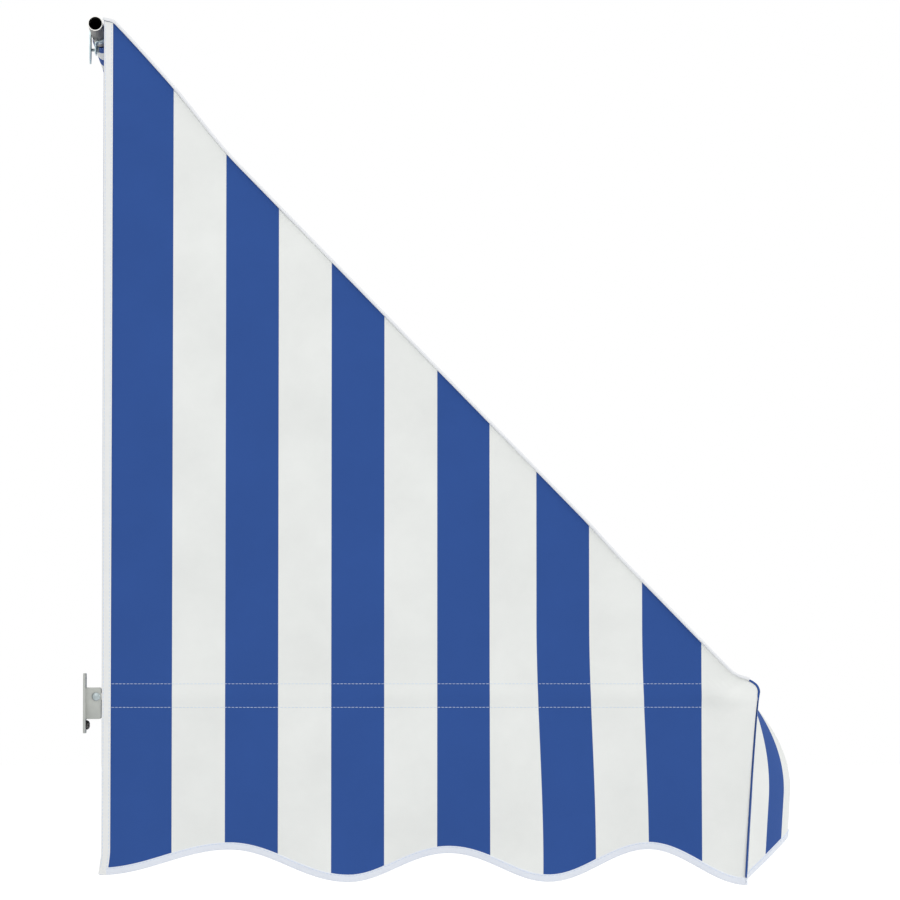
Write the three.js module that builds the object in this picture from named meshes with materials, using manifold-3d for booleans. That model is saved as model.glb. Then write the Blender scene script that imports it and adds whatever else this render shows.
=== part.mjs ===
// Fixed window awning: a striped cloth cover over a bent tube frame, in millimetres.
// X runs out from the wall, Y along it and Z up. The origin is on the wall, on the back of the
// middle head clip. The near side of a side view is -Y.
import * as THREE from "three";
import { mergeVertices } from "three/addons/utils/BufferGeometryUtils.js";
import Module from "manifold-3d";

const wasm = await Module();
wasm.setup();

// Driving dimensions of the whole awning
const STRIPE = 71;
const STRIPES = 17;
const WIDTH = STRIPE * STRIPES;
const PROJECTION = 888;
const DROP = 903;
const VALANCE_LENGTH = 252;
const CLOTH = 1.2;
const FIT = 0.3;

// Tubes of the frame
const TUBE_OD = 20;
const TUBE_WALL = 1.2;
const TUBE_SIDES = 20;
const ROD_SETBACK = 2;
const CORNER_RADIUS = 50;
const CORNER_STEPS = 7;
const ARM_RETURN = 92;
const BUTT_GAP = 0.6;
const SLEEVE_LENGTH = 70;
const SLEEVE_WALL = 1.5;

// Head clips
const STRAP = 2;
const STRAP_WIDTH = 25;
const TAIL_LENGTH = 41;
const TAIL_POINT = 12;
const SHORT_TAIL_LENGTH = 28;
const STRAP_BEND = 4;
const CLIP_HOLE = 4.6;
const CLIP_HOLE_DROP = 22;
const CLIP_INSET = 104;
const MOUNT_DROP = 8;

// Cover
const HEM_SEAM = 24;
const NOTCH_CLEARANCE = 9;
const NOTCH_START = 9;
const END_NOTCH = 161;
const EDGE_SAG = 6.5;
const MIDDLE_SAG = 6;
const SAG_START = 120;
const SAG_RISE = 150;
const SAG_FALL = 40;
const CORNER_LIFT = 9;
const LIFT_START = 18;
const LIFT_END = 280;
const CROWN_WIDTH = 110;
const ROLL_SLACK = 5.5;
const CORNER_TUCK = 19;
const FLUTES = 2;
const FLUTE_DEPTH = 88;
const FLUTE_RISE = 150;
const FRONT_SCALLOP = 56;
const SIDE_SCALLOP = 43;
const WALL_SCALLOP = 0.78;
const SIDE_PITCH = 267;
const WING_SETBACK = 24.5;
const WING_TOE = 18;
const WING_TOE_HEIGHT = 90;
const BINDING = 9;
const BINDING_THICKNESS = 2.6;
const TAPE = 12;
const TAPE_THICKNESS = 0.8;
const PIPING_RADIUS = 2;
const POCKET_HALF = 16;
const POCKET_FLANGE = 4;
const POCKET_START = 32;
const POCKET_EASE = 3;
const BAR_POCKET_REACH = 28;
const BAR_POCKET_DROP = 30;
const BAR_POCKET_INSET = 8;

// Wall brackets and their fasteners
const PLATE = 3;
const PLATE_WIDTH = 40;
const PLATE_HEIGHT = 80;
const PLATE_CORNER = 8;
const BRACKET_DROP = 912;
const CHEEK = 2;
const CHEEK_REACH = 23.5;
const CHEEK_HEIGHT = 42;
const CHEEK_CORNER = 3;
const ARM_START = 6;
const BOLT_X = 17;
const BOLT_OD = 6;
const HOLE_CLEARANCE = 0.6;
const NUT_AF = 10;
const NUT_HEIGHT = 4;
const BOLT_HEAD_OD = 11;
const BOLT_HEAD_HEIGHT = 2;
const WASHER_OD = 12.5;
const WASHER = 1.2;
const BOLT_TAIL = 3;
const PLATE_HOLE_PITCH = 58;
const WALL_SCREW_HEAD = 12.6;
const WALL_SCREW_HEIGHT = 5;
const WALL_SCREW_SHANK = 5;
const CLIP_SCREW_HEAD = 9;
const CLIP_SCREW_HEIGHT = 3.4;
const CLIP_SCREW_SHANK = 4;
const CORNER_SCREW_HEAD = 7;
const CORNER_SCREW_HEIGHT = 2.4;
const CORNER_SCREW_SHANK = 3.2;
const RECESS_DEPTH = 1.6;
const RECESS_WIDTH = 1.2;

// Places worked out from the dimensions above
const HALF = WIDTH / 2;
const ROD_R = TUBE_OD / 2;
const ROD_X = STRAP + FIT + ROD_R;
const HEM_R = ROD_R + FIT + CLOTH / 2;
const ROLL_R = HEM_R + ROLL_SLACK;
const WING_IN = HALF - CLOTH;
const ARM_Y = WING_IN - FIT - ROD_R;
const CLIP_Y = HALF - CLIP_INSET;
const BAR_HALF = ARM_Y - ARM_RETURN - BUTT_GAP / 2;
const STRAP_R = ROD_R + FIT + STRAP / 2;
const SHORT_TAIL_X = ROD_X - STRAP_BEND;

const SIDES = [
  ["left", -1],
  ["right", 1],
];

const PAINT = {
  cloth: new THREE.MeshStandardMaterial({ color: 0x365696, roughness: 0.85, metalness: 0 }),
  whiteCloth: new THREE.MeshStandardMaterial({ color: 0xe6e9e5, roughness: 0.85, metalness: 0 }),
  tape: new THREE.MeshStandardMaterial({ color: 0xe4e9f2, roughness: 0.8, metalness: 0 }),
  tube: new THREE.MeshStandardMaterial({ color: 0x8a8886, roughness: 0.45, metalness: 0.9 }),
  strap: new THREE.MeshStandardMaterial({ color: 0x8fa3a8, roughness: 0.4, metalness: 0.9 }),
  bracket: new THREE.MeshStandardMaterial({ color: 0xb9bbb7, roughness: 0.5, metalness: 0.6 }),
  screw: new THREE.MeshStandardMaterial({ color: 0x3a3a3a, roughness: 0.5, metalness: 0.8 }),
  zinc: new THREE.MeshStandardMaterial({ color: 0xb0b4b6, roughness: 0.4, metalness: 0.9 }),
};

const awning = new THREE.Group();
const frame = new THREE.Group();
const cover = new THREE.Group();
awning.add(frame, cover);
// Every height is measured from the head rod's axis, so the whole awning is raised to its origin.
frame.position.z = MOUNT_DROP;
cover.position.z = MOUNT_DROP;

// Adds a named mesh to a group.
function piece(group, name, geometry, material) {
  const mesh = new THREE.Mesh(geometry, material);
  mesh.name = name;
  group.add(mesh);
  return mesh;
}

// A closed geometry as a solid that can be joined and cut.
function solid(geometry) {
  const bare = geometry.clone();
  bare.deleteAttribute("normal");
  bare.deleteAttribute("uv");
  const merged = mergeVertices(bare, 1e-4);
  return new wasm.Manifold(
    new wasm.Mesh({
      numProp: 3,
      vertProperties: merged.attributes.position.array,
      triVerts: new Uint32Array(merged.index.array),
    }),
  );
}

// A solid back as a geometry.
function geometryOf(made) {
  const { vertProperties, triVerts } = made.getMesh();
  const geometry = new THREE.BufferGeometry();
  geometry.setAttribute("position", new THREE.BufferAttribute(new Float32Array(vertProperties), 3));
  geometry.setIndex(new THREE.BufferAttribute(new Uint32Array(triVerts), 1));
  geometry.computeVertexNormals();
  return geometry;
}

// A shape drawn in X and Z, extruded along Y from low to high.
function slabXZ(shape, low, high, curveSegments = 6) {
  const geometry = new THREE.ExtrudeGeometry(shape, {
    depth: high - low,
    bevelEnabled: false,
    curveSegments,
  });
  return geometry.rotateX(Math.PI / 2).translate(0, high, 0);
}

// A shape drawn in Y and Z, extruded along X from low to high.
function slabYZ(shape, low, high, curveSegments = 6) {
  const geometry = new THREE.ExtrudeGeometry(shape, {
    depth: high - low,
    bevelEnabled: false,
    curveSegments,
  });
  const turn = new THREE.Matrix4().makeBasis(
    new THREE.Vector3(0, 1, 0),
    new THREE.Vector3(0, 0, 1),
    new THREE.Vector3(1, 0, 0),
  );
  return geometry.applyMatrix4(turn).translate(low, 0, 0);
}

// A plain cylinder along Y, or along X.
function rodY(radius, low, high, sides = 16) {
  return new THREE.CylinderGeometry(radius, radius, high - low, sides).translate(0, (low + high) / 2, 0);
}
function rodX(radius, low, high, sides = 16) {
  return new THREE.CylinderGeometry(radius, radius, high - low, sides)
    .rotateZ(-Math.PI / 2)
    .translate((low + high) / 2, 0, 0);
}

// A rectangle with rounded corners.
function roundedRect(width, height, corner, cx = 0, cy = 0) {
  const [x, y, w, h] = [cx - width / 2, cy - height / 2, width, height];
  const shape = new THREE.Shape();
  shape.moveTo(x + corner, y);
  shape.lineTo(x + w - corner, y);
  shape.absarc(x + w - corner, y + corner, corner, -Math.PI / 2, 0, false);
  shape.lineTo(x + w, y + h - corner);
  shape.absarc(x + w - corner, y + h - corner, corner, 0, Math.PI / 2, false);
  shape.lineTo(x + corner, y + h);
  shape.absarc(x + corner, y + h - corner, corner, Math.PI / 2, Math.PI, false);
  shape.lineTo(x, y + corner);
  shape.absarc(x + corner, y + corner, corner, Math.PI, Math.PI * 1.5, false);
  return shape;
}

// Unit normal to the left of each point of a line.
function leftNormals(points) {
  return points.map((p, i) => {
    const before = points[Math.max(i - 1, 0)];
    const after = points[Math.min(i + 1, points.length - 1)];
    const along = after.clone().sub(before).normalize();
    return new THREE.Vector2(-along.y, along.x);
  });
}

// A line moved sideways, to the left where the distance is positive.
function offsetLine(points, distance) {
  const normals = leftNormals(points);
  return points.map((p, i) => p.clone().addScaledVector(normals[i], distance));
}

// The outline of a strip of even thickness along a line.
function ribbon(points, thickness) {
  const right = offsetLine(points, -thickness / 2);
  const left = offsetLine(points, thickness / 2).reverse();
  return new THREE.Shape([...right, ...left]);
}

// Points on an arc about a centre, angles in degrees, both ends included.
function arcPoints(cx, cy, radius, from, to, steps) {
  return Array.from({ length: steps + 1 }, (_, i) => {
    const angle = THREE.MathUtils.degToRad(from + ((to - from) * i) / steps);
    return new THREE.Vector2(cx + radius * Math.cos(angle), cy + radius * Math.sin(angle));
  });
}

// A run of tube as stations, each swept exactly, with straight stretches in one step.
class StationCurve extends THREE.Curve {
  constructor(points, tangents) {
    super();
    this.points = points;
    this.tangents = tangents;
  }
  getPoint(t) {
    const at = t * (this.points.length - 1);
    const i = Math.min(Math.floor(at + 1e-6), this.points.length - 2);
    return this.points[i].clone().lerp(this.points[i + 1], at - i);
  }
  getPointAt(t) {
    return this.getPoint(t);
  }
  getTangentAt(t) {
    return this.tangents[Math.round(t * (this.points.length - 1))].clone();
  }
  getSpacedPoints(divisions) {
    return this.getPoints(divisions);
  }
}

// A section swept along stations.
function sweep(shape, points, tangents) {
  return new THREE.ExtrudeGeometry(shape, {
    steps: points.length - 1,
    extrudePath: new StationCurve(points, tangents),
    curveSegments: TUBE_SIDES / 2,
  });
}

function ringShape(outer, inner) {
  const shape = new THREE.Shape();
  shape.absarc(0, 0, outer, 0, Math.PI * 2, false);
  const bore = new THREE.Path();
  bore.absarc(0, 0, inner, 0, Math.PI * 2, true);
  shape.holes.push(bore);
  return shape;
}

// A straight tube along Y.
function tubeY(outer, inner, low, high) {
  return slabXZ(ringShape(outer, inner), low, high, TUBE_SIDES / 2);
}

function smooth(value) {
  const t = THREE.MathUtils.clamp(value, 0, 1);
  return t * t * (3 - 2 * t);
}

// The straight run of the cover, tangent to the wraps round the head rod and the front bar
const ROD = new THREE.Vector2(ROD_X, 0);
const BAR = new THREE.Vector2(PROJECTION, -DROP);
const SPAN = BAR.clone().sub(ROD);
const SPAN_ANGLE = Math.atan2(SPAN.y, SPAN.x);
const NORMAL_ANGLE = SPAN_ANGLE + Math.PI / 2 + Math.asin((ROLL_R - HEM_R) / SPAN.length());
const SLOPE_NORMAL = new THREE.Vector2(Math.cos(NORMAL_ANGLE), Math.sin(NORMAL_ANGLE));
const SLOPE_TOP = ROD.clone().addScaledVector(SLOPE_NORMAL, HEM_R);
const SLOPE_END = BAR.clone().addScaledVector(SLOPE_NORMAL, ROLL_R);
const SLOPE_LENGTH = SLOPE_TOP.distanceTo(SLOPE_END);
const SLOPE_ALONG = SLOPE_END.clone().sub(SLOPE_TOP).normalize();

// How far the cover sags below its straight run, a distance down the slope, at a place across it.
// Its stiff seams stand up a little where they come off the head rod.
function sagAt(along, y) {
  const edge = smooth((HALF - Math.abs(y)) / CROWN_WIDTH);
  const depth = THREE.MathUtils.lerp(EDGE_SAG, MIDDLE_SAG, edge);
  const lift = CORNER_LIFT * (1 - edge) * smooth(along / LIFT_START) * smooth(1 - along / LIFT_END);
  return depth * smooth((along - SAG_START) / SAG_RISE) * smooth((SLOPE_LENGTH - along) / SAG_FALL) - lift;
}

function slopePoint(along, y) {
  return SLOPE_TOP.clone().addScaledVector(SLOPE_ALONG, along).addScaledVector(SLOPE_NORMAL, -sagAt(along, y));
}

// The distance down the slope at which the cover's edge is at a distance from the wall.
function alongAt(x) {
  let along = (x - SLOPE_TOP.x) / SLOPE_ALONG.x;
  for (let i = 0; i < 4; i++) along += (x - slopePoint(along, HALF).x) / SLOPE_ALONG.x;
  return along;
}

// How much of a flute stands out at a place across the front, from 0 to 1.
function fluteAt(y) {
  const turns = ((y + HALF) / WIDTH) * FLUTES;
  return (1 - Math.cos(turns * Math.PI * 2)) / 2;
}

// Where round the front roll the cloth leaves it: low at a corner and high at the crest of a flute.
function leaveAngle(y) {
  return Math.min(Math.atan((2 * FLUTE_DEPTH * fluteAt(y)) / FLUTE_RISE), NORMAL_ANGLE);
}

// The height of the hanging front at a place across it.
function valanceHeight(y) {
  return ROLL_R * Math.sin(leaveAngle(y)) + VALANCE_LENGTH - FRONT_SCALLOP * fluteAt(y);
}

// A point of the hanging front: it tucks in at the corners and stands out in broad flutes.
function valancePoint(below, y) {
  const leave = leaveAngle(y);
  const rest = 1 - Math.min(below / FLUTE_RISE, 1);
  const out = FLUTE_DEPTH * fluteAt(y) * (1 - rest * rest) - CORNER_TUCK * Math.pow(below / VALANCE_LENGTH, 0.75);
  return new THREE.Vector2(PROJECTION + ROLL_R * Math.cos(leave) + out, -DROP + ROLL_R * Math.sin(leave) - below);
}

// Stations of the cover's middle surface at a place across it, from the head seam to the front hem.
const SLOPE_STATIONS = [16, 38, 80, 140, 200, 270, 420, 640, 860, 1060];
const ROLL_APPROACH = [60, 35, 15];
const WRAP_STEPS = 11;
const SLOPE_FIRST = WRAP_STEPS + 2;
const ROLL_STEPS = 4;
const VALANCE_STEPS = 7;
function coverLine(y) {
  const seam = SLOPE_TOP.clone().addScaledVector(SLOPE_ALONG, HEM_SEAM).addScaledVector(SLOPE_NORMAL, -(CLOTH + FIT));
  const reach = seam.clone().sub(ROD);
  const leave = reach.angle() - Math.acos(HEM_R / reach.length());
  const normal = THREE.MathUtils.radToDeg(NORMAL_ANGLE);
  const wrap = arcPoints(ROD.x, ROD.y, HEM_R, THREE.MathUtils.radToDeg(leave), normal, WRAP_STEPS);
  const line = [seam, ...wrap];
  for (const along of SLOPE_STATIONS) line.push(slopePoint(along, y));
  for (const back of ROLL_APPROACH) line.push(slopePoint(SLOPE_LENGTH - back, y));
  const end = Math.min(THREE.MathUtils.radToDeg(leaveAngle(y)), normal - 1);
  line.push(...arcPoints(BAR.x, BAR.y, ROLL_R, normal, end, ROLL_STEPS));
  const length = valanceHeight(y) - BINDING - FIT;
  for (let i = 1; i <= VALANCE_STEPS; i++) line.push(valancePoint((length * i) / VALANCE_STEPS, y));
  return line;
}

// A sheet with thickness, from one line of stations for each column across it.
function sheet(columns, lineAt, thickness) {
  const lines = columns.map((y) => {
    const points = lineAt(y);
    return { low: offsetLine(points, -thickness / 2), high: offsetLine(points, thickness / 2) };
  });
  const stations = lines[0].low.length;
  const geometry = new THREE.BoxGeometry(1, 1, 1, columns.length - 1, stations - 1, 1);
  const position = geometry.attributes.position;
  for (let i = 0; i < position.count; i++) {
    const column = Math.round((position.getX(i) + 0.5) * (columns.length - 1));
    const station = Math.round((position.getY(i) + 0.5) * (stations - 1));
    const side = position.getZ(i) > 0 ? lines[column].low : lines[column].high;
    position.setXYZ(i, side[station].x, columns[column], side[station].y);
  }
  // Both faces are split along the same diagonals, so the cloth keeps its thickness where it twists.
  const under = geometry.groups[5];
  const index = geometry.index;
  for (let i = under.start; i < under.start + under.count; i += 6) {
    const [a, b, d, c] = [0, 1, 2, 4].map((corner) => index.getX(i + corner));
    [a, b, c, a, c, d].forEach((vertex, k) => index.setX(i + k, vertex));
  }
  return geometry;
}

const BAYS = 28;
const COLUMNS = Array.from({ length: BAYS + 1 }, (_, i) => -HALF + (WIDTH * i) / BAYS);
const CLIPS = [
  ["left", -CLIP_Y],
  ["middle", 0],
  ["right", CLIP_Y],
];

// The head hem is cut away over a stretch, with the slope's own cloth left whole.
function hemNotch(low, high) {
  const under = -(CLOTH + FIT) / 2;
  const at = (along, out) =>
    SLOPE_TOP.clone().addScaledVector(SLOPE_ALONG, along).addScaledVector(SLOPE_NORMAL, out);
  const reach = TUBE_OD * 2;
  const start = NOTCH_START;
  const shape = new THREE.Shape([
    at(start, reach),
    at(-reach, reach),
    at(-reach, -reach * 1.5),
    at(HEM_SEAM + 2, -reach * 1.5),
    at(HEM_SEAM + 2, under),
    at(start, under),
  ]);
  return solid(slabXZ(shape, low, high));
}

function roofSheet() {
  const half = STRAP_WIDTH / 2 + NOTCH_CLEARANCE;
  let made = solid(sheet(COLUMNS, coverLine, CLOTH));
  for (const [, y] of CLIPS) {
    if (y < 0) made = made.subtract(hemNotch(-HALF - 1, -HALF + END_NOTCH));
    else if (y > 0) made = made.subtract(hemNotch(HALF - END_NOTCH, HALF + 1));
    else made = made.subtract(hemNotch(y - half, y + half));
  }
  return geometryOf(made);
}

// The side hem's height below the rod axis, lowest at the front corner and once each pitch.
const HEM_LOW = -(DROP + VALANCE_LENGTH);
const LAST_CREST = PROJECTION - SIDE_PITCH * 2.5;
function hemHeight(x) {
  const turns = (PROJECTION - x) / SIDE_PITCH;
  if (x > LAST_CREST) return HEM_LOW + (SIDE_SCALLOP * (1 - Math.cos(turns * Math.PI * 2))) / 2;
  const share = (LAST_CREST - x) / (LAST_CREST - WING_TOE);
  return HEM_LOW + SIDE_SCALLOP - (SIDE_SCALLOP * WALL_SCALLOP * (1 - Math.cos(share * Math.PI))) / 2;
}

// The wall edge of a wing: upright, with a toe at the bottom.
function wingBack(z) {
  const toe = smooth((HEM_LOW + WING_TOE_HEIGHT - z) / WING_TOE_HEIGHT);
  return WING_SETBACK - (WING_SETBACK - WING_TOE) * toe;
}

// Heights up the toe of a wing's wall edge.
const TOE_STEPS = 4;
function toeHeights() {
  return Array.from({ length: TOE_STEPS }, (_, i) => HEM_LOW + (WING_TOE_HEIGHT * (i + 1.2)) / (TOE_STEPS + 0.2));
}

// The hem line of a side, from the wall to the front, raised by a height.
function hemLine(raise, front, steps = 30) {
  const back = wingBack(HEM_LOW + raise);
  return Array.from({ length: steps + 1 }, (_, i) => {
    const x = back + ((front - back) * i) / steps;
    return new THREE.Vector2(x, hemHeight(x) + raise);
  });
}

// The place of the cover's corner edge at a height on the hanging front.
function cornerX(z) {
  return valancePoint(-DROP - z, HALF).x;
}

const WING_CLEARANCE = CLOTH / 2 + FIT;
function wingGeometry() {
  const edge = offsetLine(coverLine(HALF).slice(SLOPE_FIRST - 1), -WING_CLEARANCE);
  const top = edge.findIndex((p) => p.x > WING_SETBACK + 1);
  const slopeEdge = edge.slice(top);
  const first = slopePoint(alongAt(WING_SETBACK), HALF).addScaledVector(SLOPE_NORMAL, -WING_CLEARANCE);
  const frontX = cornerX(HEM_LOW + BINDING) - WING_CLEARANCE - FIT;
  const hem = hemLine(BINDING + FIT, frontX).reverse();
  const front = slopeEdge.filter((p) => p.y > hem[0].y + 4);
  const outline = [first, ...front, ...hem, ...toeHeights().map((z) => new THREE.Vector2(wingBack(z), z))];
  return slabXZ(new THREE.Shape(outline.reverse()), 0, CLOTH);
}

// A strip that binds the bottom of a side.
function sideBinding() {
  const front = cornerX(HEM_LOW) - BINDING_THICKNESS / 2 - CLOTH / 2 - FIT;
  const low = hemLine(0, front);
  const high = hemLine(BINDING, front).reverse();
  return slabXZ(new THREE.Shape([...low, ...high]), 0, BINDING_THICKNESS);
}

function frontBindingLine(y) {
  const length = valanceHeight(y);
  return [length - BINDING, length - BINDING / 2, length].map((below) => valancePoint(below, y));
}

// The tape on the wall edge of a wing, cut along the seam at its top.
function backTape() {
  const clear = (PIPING_RADIUS + FIT * 2) / SLOPE_NORMAL.y;
  const crown = [0, 0.5, 1].map((share) => slopePoint(alongAt(WING_SETBACK + TAPE * share), HALF));
  const top = crown.map((p) => new THREE.Vector2(p.x, p.y - clear));
  const heights = [...toeHeights().reverse(), HEM_LOW + BINDING * 2.5];
  const outer = heights.map((z) => new THREE.Vector2(wingBack(z), z));
  const inner = heights.map((z) => new THREE.Vector2(wingBack(z) + TAPE, z)).reverse();
  return slabXZ(new THREE.Shape([...outer, ...inner, ...top.reverse()]), 0, TAPE_THICKNESS);
}

// The piping over a slope seam, from the head to the start of the roll at the front bar.
const PIPING_SIDES = 8;
function piping(side) {
  const y = side * (HALF + FIT + PIPING_RADIUS);
  const line = coverLine(HALF).slice(SLOPE_FIRST, SLOPE_FIRST + SLOPE_STATIONS.length + ROLL_APPROACH.length + 1);
  const start = slopePoint(ROD_R / 2, HALF);
  const flat = [start, ...line];
  const normals = leftNormals(flat);
  const points = flat.map((p) => new THREE.Vector3(p.x, y, p.y));
  const tangents = normals.map((n) => new THREE.Vector3(n.y, 0, -n.x));
  const section = new THREE.Shape(arcPoints(0, 0, PIPING_RADIUS, 0, 360, PIPING_SIDES).slice(1));
  return sweep(section, points, tangents);
}

// The cloth sleeve that holds an arm: an open loop sewn to the wing above and below the arm.
function armPocket(side) {
  const face = WING_IN - FIT - CLOTH / 2;
  const loop = arcPoints(ARM_Y, -DROP, HEM_R, 90, 270, 8);
  const line = [
    new THREE.Vector2(face, -DROP + POCKET_HALF + POCKET_FLANGE),
    new THREE.Vector2(face, -DROP + POCKET_HALF - POCKET_EASE),
    ...loop,
    new THREE.Vector2(face, -DROP - POCKET_HALF + POCKET_EASE),
    new THREE.Vector2(face, -DROP - POCKET_HALF - POCKET_FLANGE),
  ];
  const points = side < 0 ? line.map((p) => new THREE.Vector2(-p.x, p.y)).reverse() : line;
  return slabYZ(ribbon(points, CLOTH), POCKET_START, PROJECTION - CORNER_RADIUS - 4);
}

// The cloth strip that holds the front bar under the cover.
function barPocket() {
  const seam = slopePoint(SLOPE_LENGTH - BAR_POCKET_REACH, 0).addScaledVector(SLOPE_NORMAL, -(CLOTH + FIT * 2));
  const reach = seam.clone().sub(BAR);
  const meet = THREE.MathUtils.radToDeg(reach.angle() + Math.acos(HEM_R / reach.length()));
  const corner = valancePoint(BAR_POCKET_DROP, HALF);
  const foot = new THREE.Vector2(corner.x - CLOTH * 2 - FIT, corner.y);
  const drop = foot.clone().sub(BAR);
  const leave = THREE.MathUtils.radToDeg(drop.angle() - Math.acos(HEM_R / drop.length()));
  const line = [seam, ...arcPoints(BAR.x, BAR.y, HEM_R, meet, leave, 4), foot];
  const half = BAR_HALF - BAR_POCKET_INSET;
  return slabXZ(ribbon(line, CLOTH), -half, half);
}

// A screw along X with its head outwards: the seat and tip are places along X.
function screwX(head, height, shank, seat, tip) {
  const profile = [
    [0, tip],
    [shank / 2 - 0.8, tip],
    [shank / 2, tip + 0.9],
    [shank / 2, seat],
    [head / 2, seat],
    [head / 2, seat + height * 0.35],
    [head * 0.4, seat + height * 0.8],
    [head * 0.22, seat + height],
    [0, seat + height],
  ];
  const turned = new THREE.LatheGeometry(profile.map(([r, h]) => new THREE.Vector2(r, h)), 16);
  let made = solid(turned.rotateZ(-Math.PI / 2));
  const bar = new THREE.BoxGeometry(RECESS_DEPTH * 2, RECESS_WIDTH, head * 0.5).translate(seat + height, 0, 0);
  made = made.subtract(solid(bar));
  made = made.subtract(solid(bar.clone().rotateX(Math.PI / 2)));
  return geometryOf(made);
}

// A strap bent round the rod: a long pointed tail on the wall and a short tail in front of it.
function headClip() {
  const line = [
    new THREE.Vector2(STRAP / 2, -TAIL_LENGTH),
    ...arcPoints(ROD_X, 0, STRAP_R, 180, -90, 24),
    ...arcPoints(ROD_X, -STRAP_R - STRAP_BEND, STRAP_BEND, 90, 180, 4),
    new THREE.Vector2(SHORT_TAIL_X, -SHORT_TAIL_LENGTH),
  ];
  const half = STRAP_WIDTH / 2;
  let made = solid(slabXZ(ribbon(line, STRAP), -half, half));
  const top = ROD_R * 2;
  const outline = new THREE.Shape([
    new THREE.Vector2(-half - 1, top),
    new THREE.Vector2(-half - 1, -TAIL_LENGTH + TAIL_POINT),
    new THREE.Vector2(-3, -TAIL_LENGTH),
    new THREE.Vector2(3, -TAIL_LENGTH),
    new THREE.Vector2(half + 1, -TAIL_LENGTH + TAIL_POINT),
    new THREE.Vector2(half + 1, top),
  ]);
  made = made.intersect(solid(slabYZ(outline, -1, ROD_X * 3)));
  const hole = rodX(CLIP_HOLE / 2, -1, SHORT_TAIL_X + STRAP, 16).translate(0, 0, -CLIP_HOLE_DROP);
  return geometryOf(made.subtract(solid(hole)));
}

function buildHead() {
  const rod = tubeY(ROD_R, ROD_R - TUBE_WALL, -HALF + ROD_SETBACK, HALF - ROD_SETBACK);
  piece(frame, "head_rod", rod.translate(ROD_X, 0, 0), PAINT.tube);
  const clip = headClip();
  const seat = SHORT_TAIL_X + STRAP / 2 + FIT;
  const screw = screwX(CLIP_SCREW_HEAD, CLIP_SCREW_HEIGHT, CLIP_SCREW_SHANK, seat, FIT);
  for (const [name, y] of CLIPS) {
    piece(frame, "head_clip_" + name, clip, PAINT.strap).position.y = y;
    piece(frame, "head_clip_screw_" + name, screw, PAINT.zinc).position.set(0, y, -CLIP_HOLE_DROP);
  }
}

// An arm: straight out from the wall, round the corner and a short way along the front.
function armGeometry(side) {
  const [cx, cy] = [PROJECTION - CORNER_RADIUS, ARM_Y - CORNER_RADIUS];
  const points = [new THREE.Vector3(ARM_START, ARM_Y, 0)];
  const tangents = [new THREE.Vector3(1, 0, 0)];
  for (let i = 0; i <= CORNER_STEPS; i++) {
    const angle = (Math.PI / 2) * (1 - i / CORNER_STEPS);
    points.push(new THREE.Vector3(cx + CORNER_RADIUS * Math.cos(angle), cy + CORNER_RADIUS * Math.sin(angle), 0));
    tangents.push(new THREE.Vector3(Math.sin(angle), -Math.cos(angle), 0));
  }
  points.push(new THREE.Vector3(PROJECTION, ARM_Y - ARM_RETURN, 0));
  tangents.push(new THREE.Vector3(0, -1, 0));
  for (const vector of [...points, ...tangents]) vector.y *= side;
  const tube = sweep(ringShape(ROD_R, ROD_R - TUBE_WALL), points, tangents);
  const hole = rodY(BOLT_OD / 2 + HOLE_CLEARANCE / 2, -TUBE_OD, TUBE_OD).translate(BOLT_X, side * ARM_Y, 0);
  const made = solid(tube).subtract(solid(hole)).subtract(screwHole(side * (ARM_Y - ARM_RETURN + SCREW_INSET)));
  return geometryOf(made);
}

// The corner screws sit under the front tubes, on each side of the joint over the sleeve.
const SCREW_INSET = 20;
function screwHole(y) {
  const drill = new THREE.CylinderGeometry(CORNER_SCREW_SHANK / 2 + FIT, CORNER_SCREW_SHANK / 2 + FIT, TUBE_OD, 12);
  return solid(drill.rotateX(Math.PI / 2).translate(PROJECTION, y, -ROD_R));
}

// A screw pointing up, its head under the tube.
function cornerScrew() {
  const tip = ROD_R - TUBE_WALL - SLEEVE_WALL - 2;
  const made = screwX(CORNER_SCREW_HEAD, CORNER_SCREW_HEIGHT, CORNER_SCREW_SHANK, ROD_R + FIT, tip);
  return made.rotateY(Math.PI / 2);
}

function buildArms() {
  const sleeveR = ROD_R - TUBE_WALL - FIT;
  const joint = ARM_Y - ARM_RETURN;
  const inset = SCREW_INSET;
  let bar = solid(tubeY(ROD_R, ROD_R - TUBE_WALL, -BAR_HALF, BAR_HALF).translate(PROJECTION, 0, 0));
  for (const [name, side] of SIDES) {
    piece(frame, "arm_" + name, armGeometry(side), PAINT.tube).position.z = -DROP;
    bar = bar.subtract(screwHole(side * (joint - inset)));
    const sleeve = tubeY(sleeveR, sleeveR - SLEEVE_WALL, -SLEEVE_LENGTH / 2, SLEEVE_LENGTH / 2);
    let made = solid(sleeve.translate(PROJECTION, side * joint, 0));
    for (const offset of [-inset, inset]) {
      made = made.subtract(screwHole(side * (joint + offset)));
      const screw = piece(frame, `joint_screw_${name}_${offset < 0 ? "bar" : "arm"}`, cornerScrew(), PAINT.zinc);
      screw.position.set(PROJECTION, side * (joint + offset), -DROP);
    }
    piece(frame, "joint_sleeve_" + name, geometryOf(made), PAINT.zinc).position.z = -DROP;
  }
  piece(frame, "front_bar", geometryOf(bar), PAINT.tube).position.z = -DROP;
}

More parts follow.
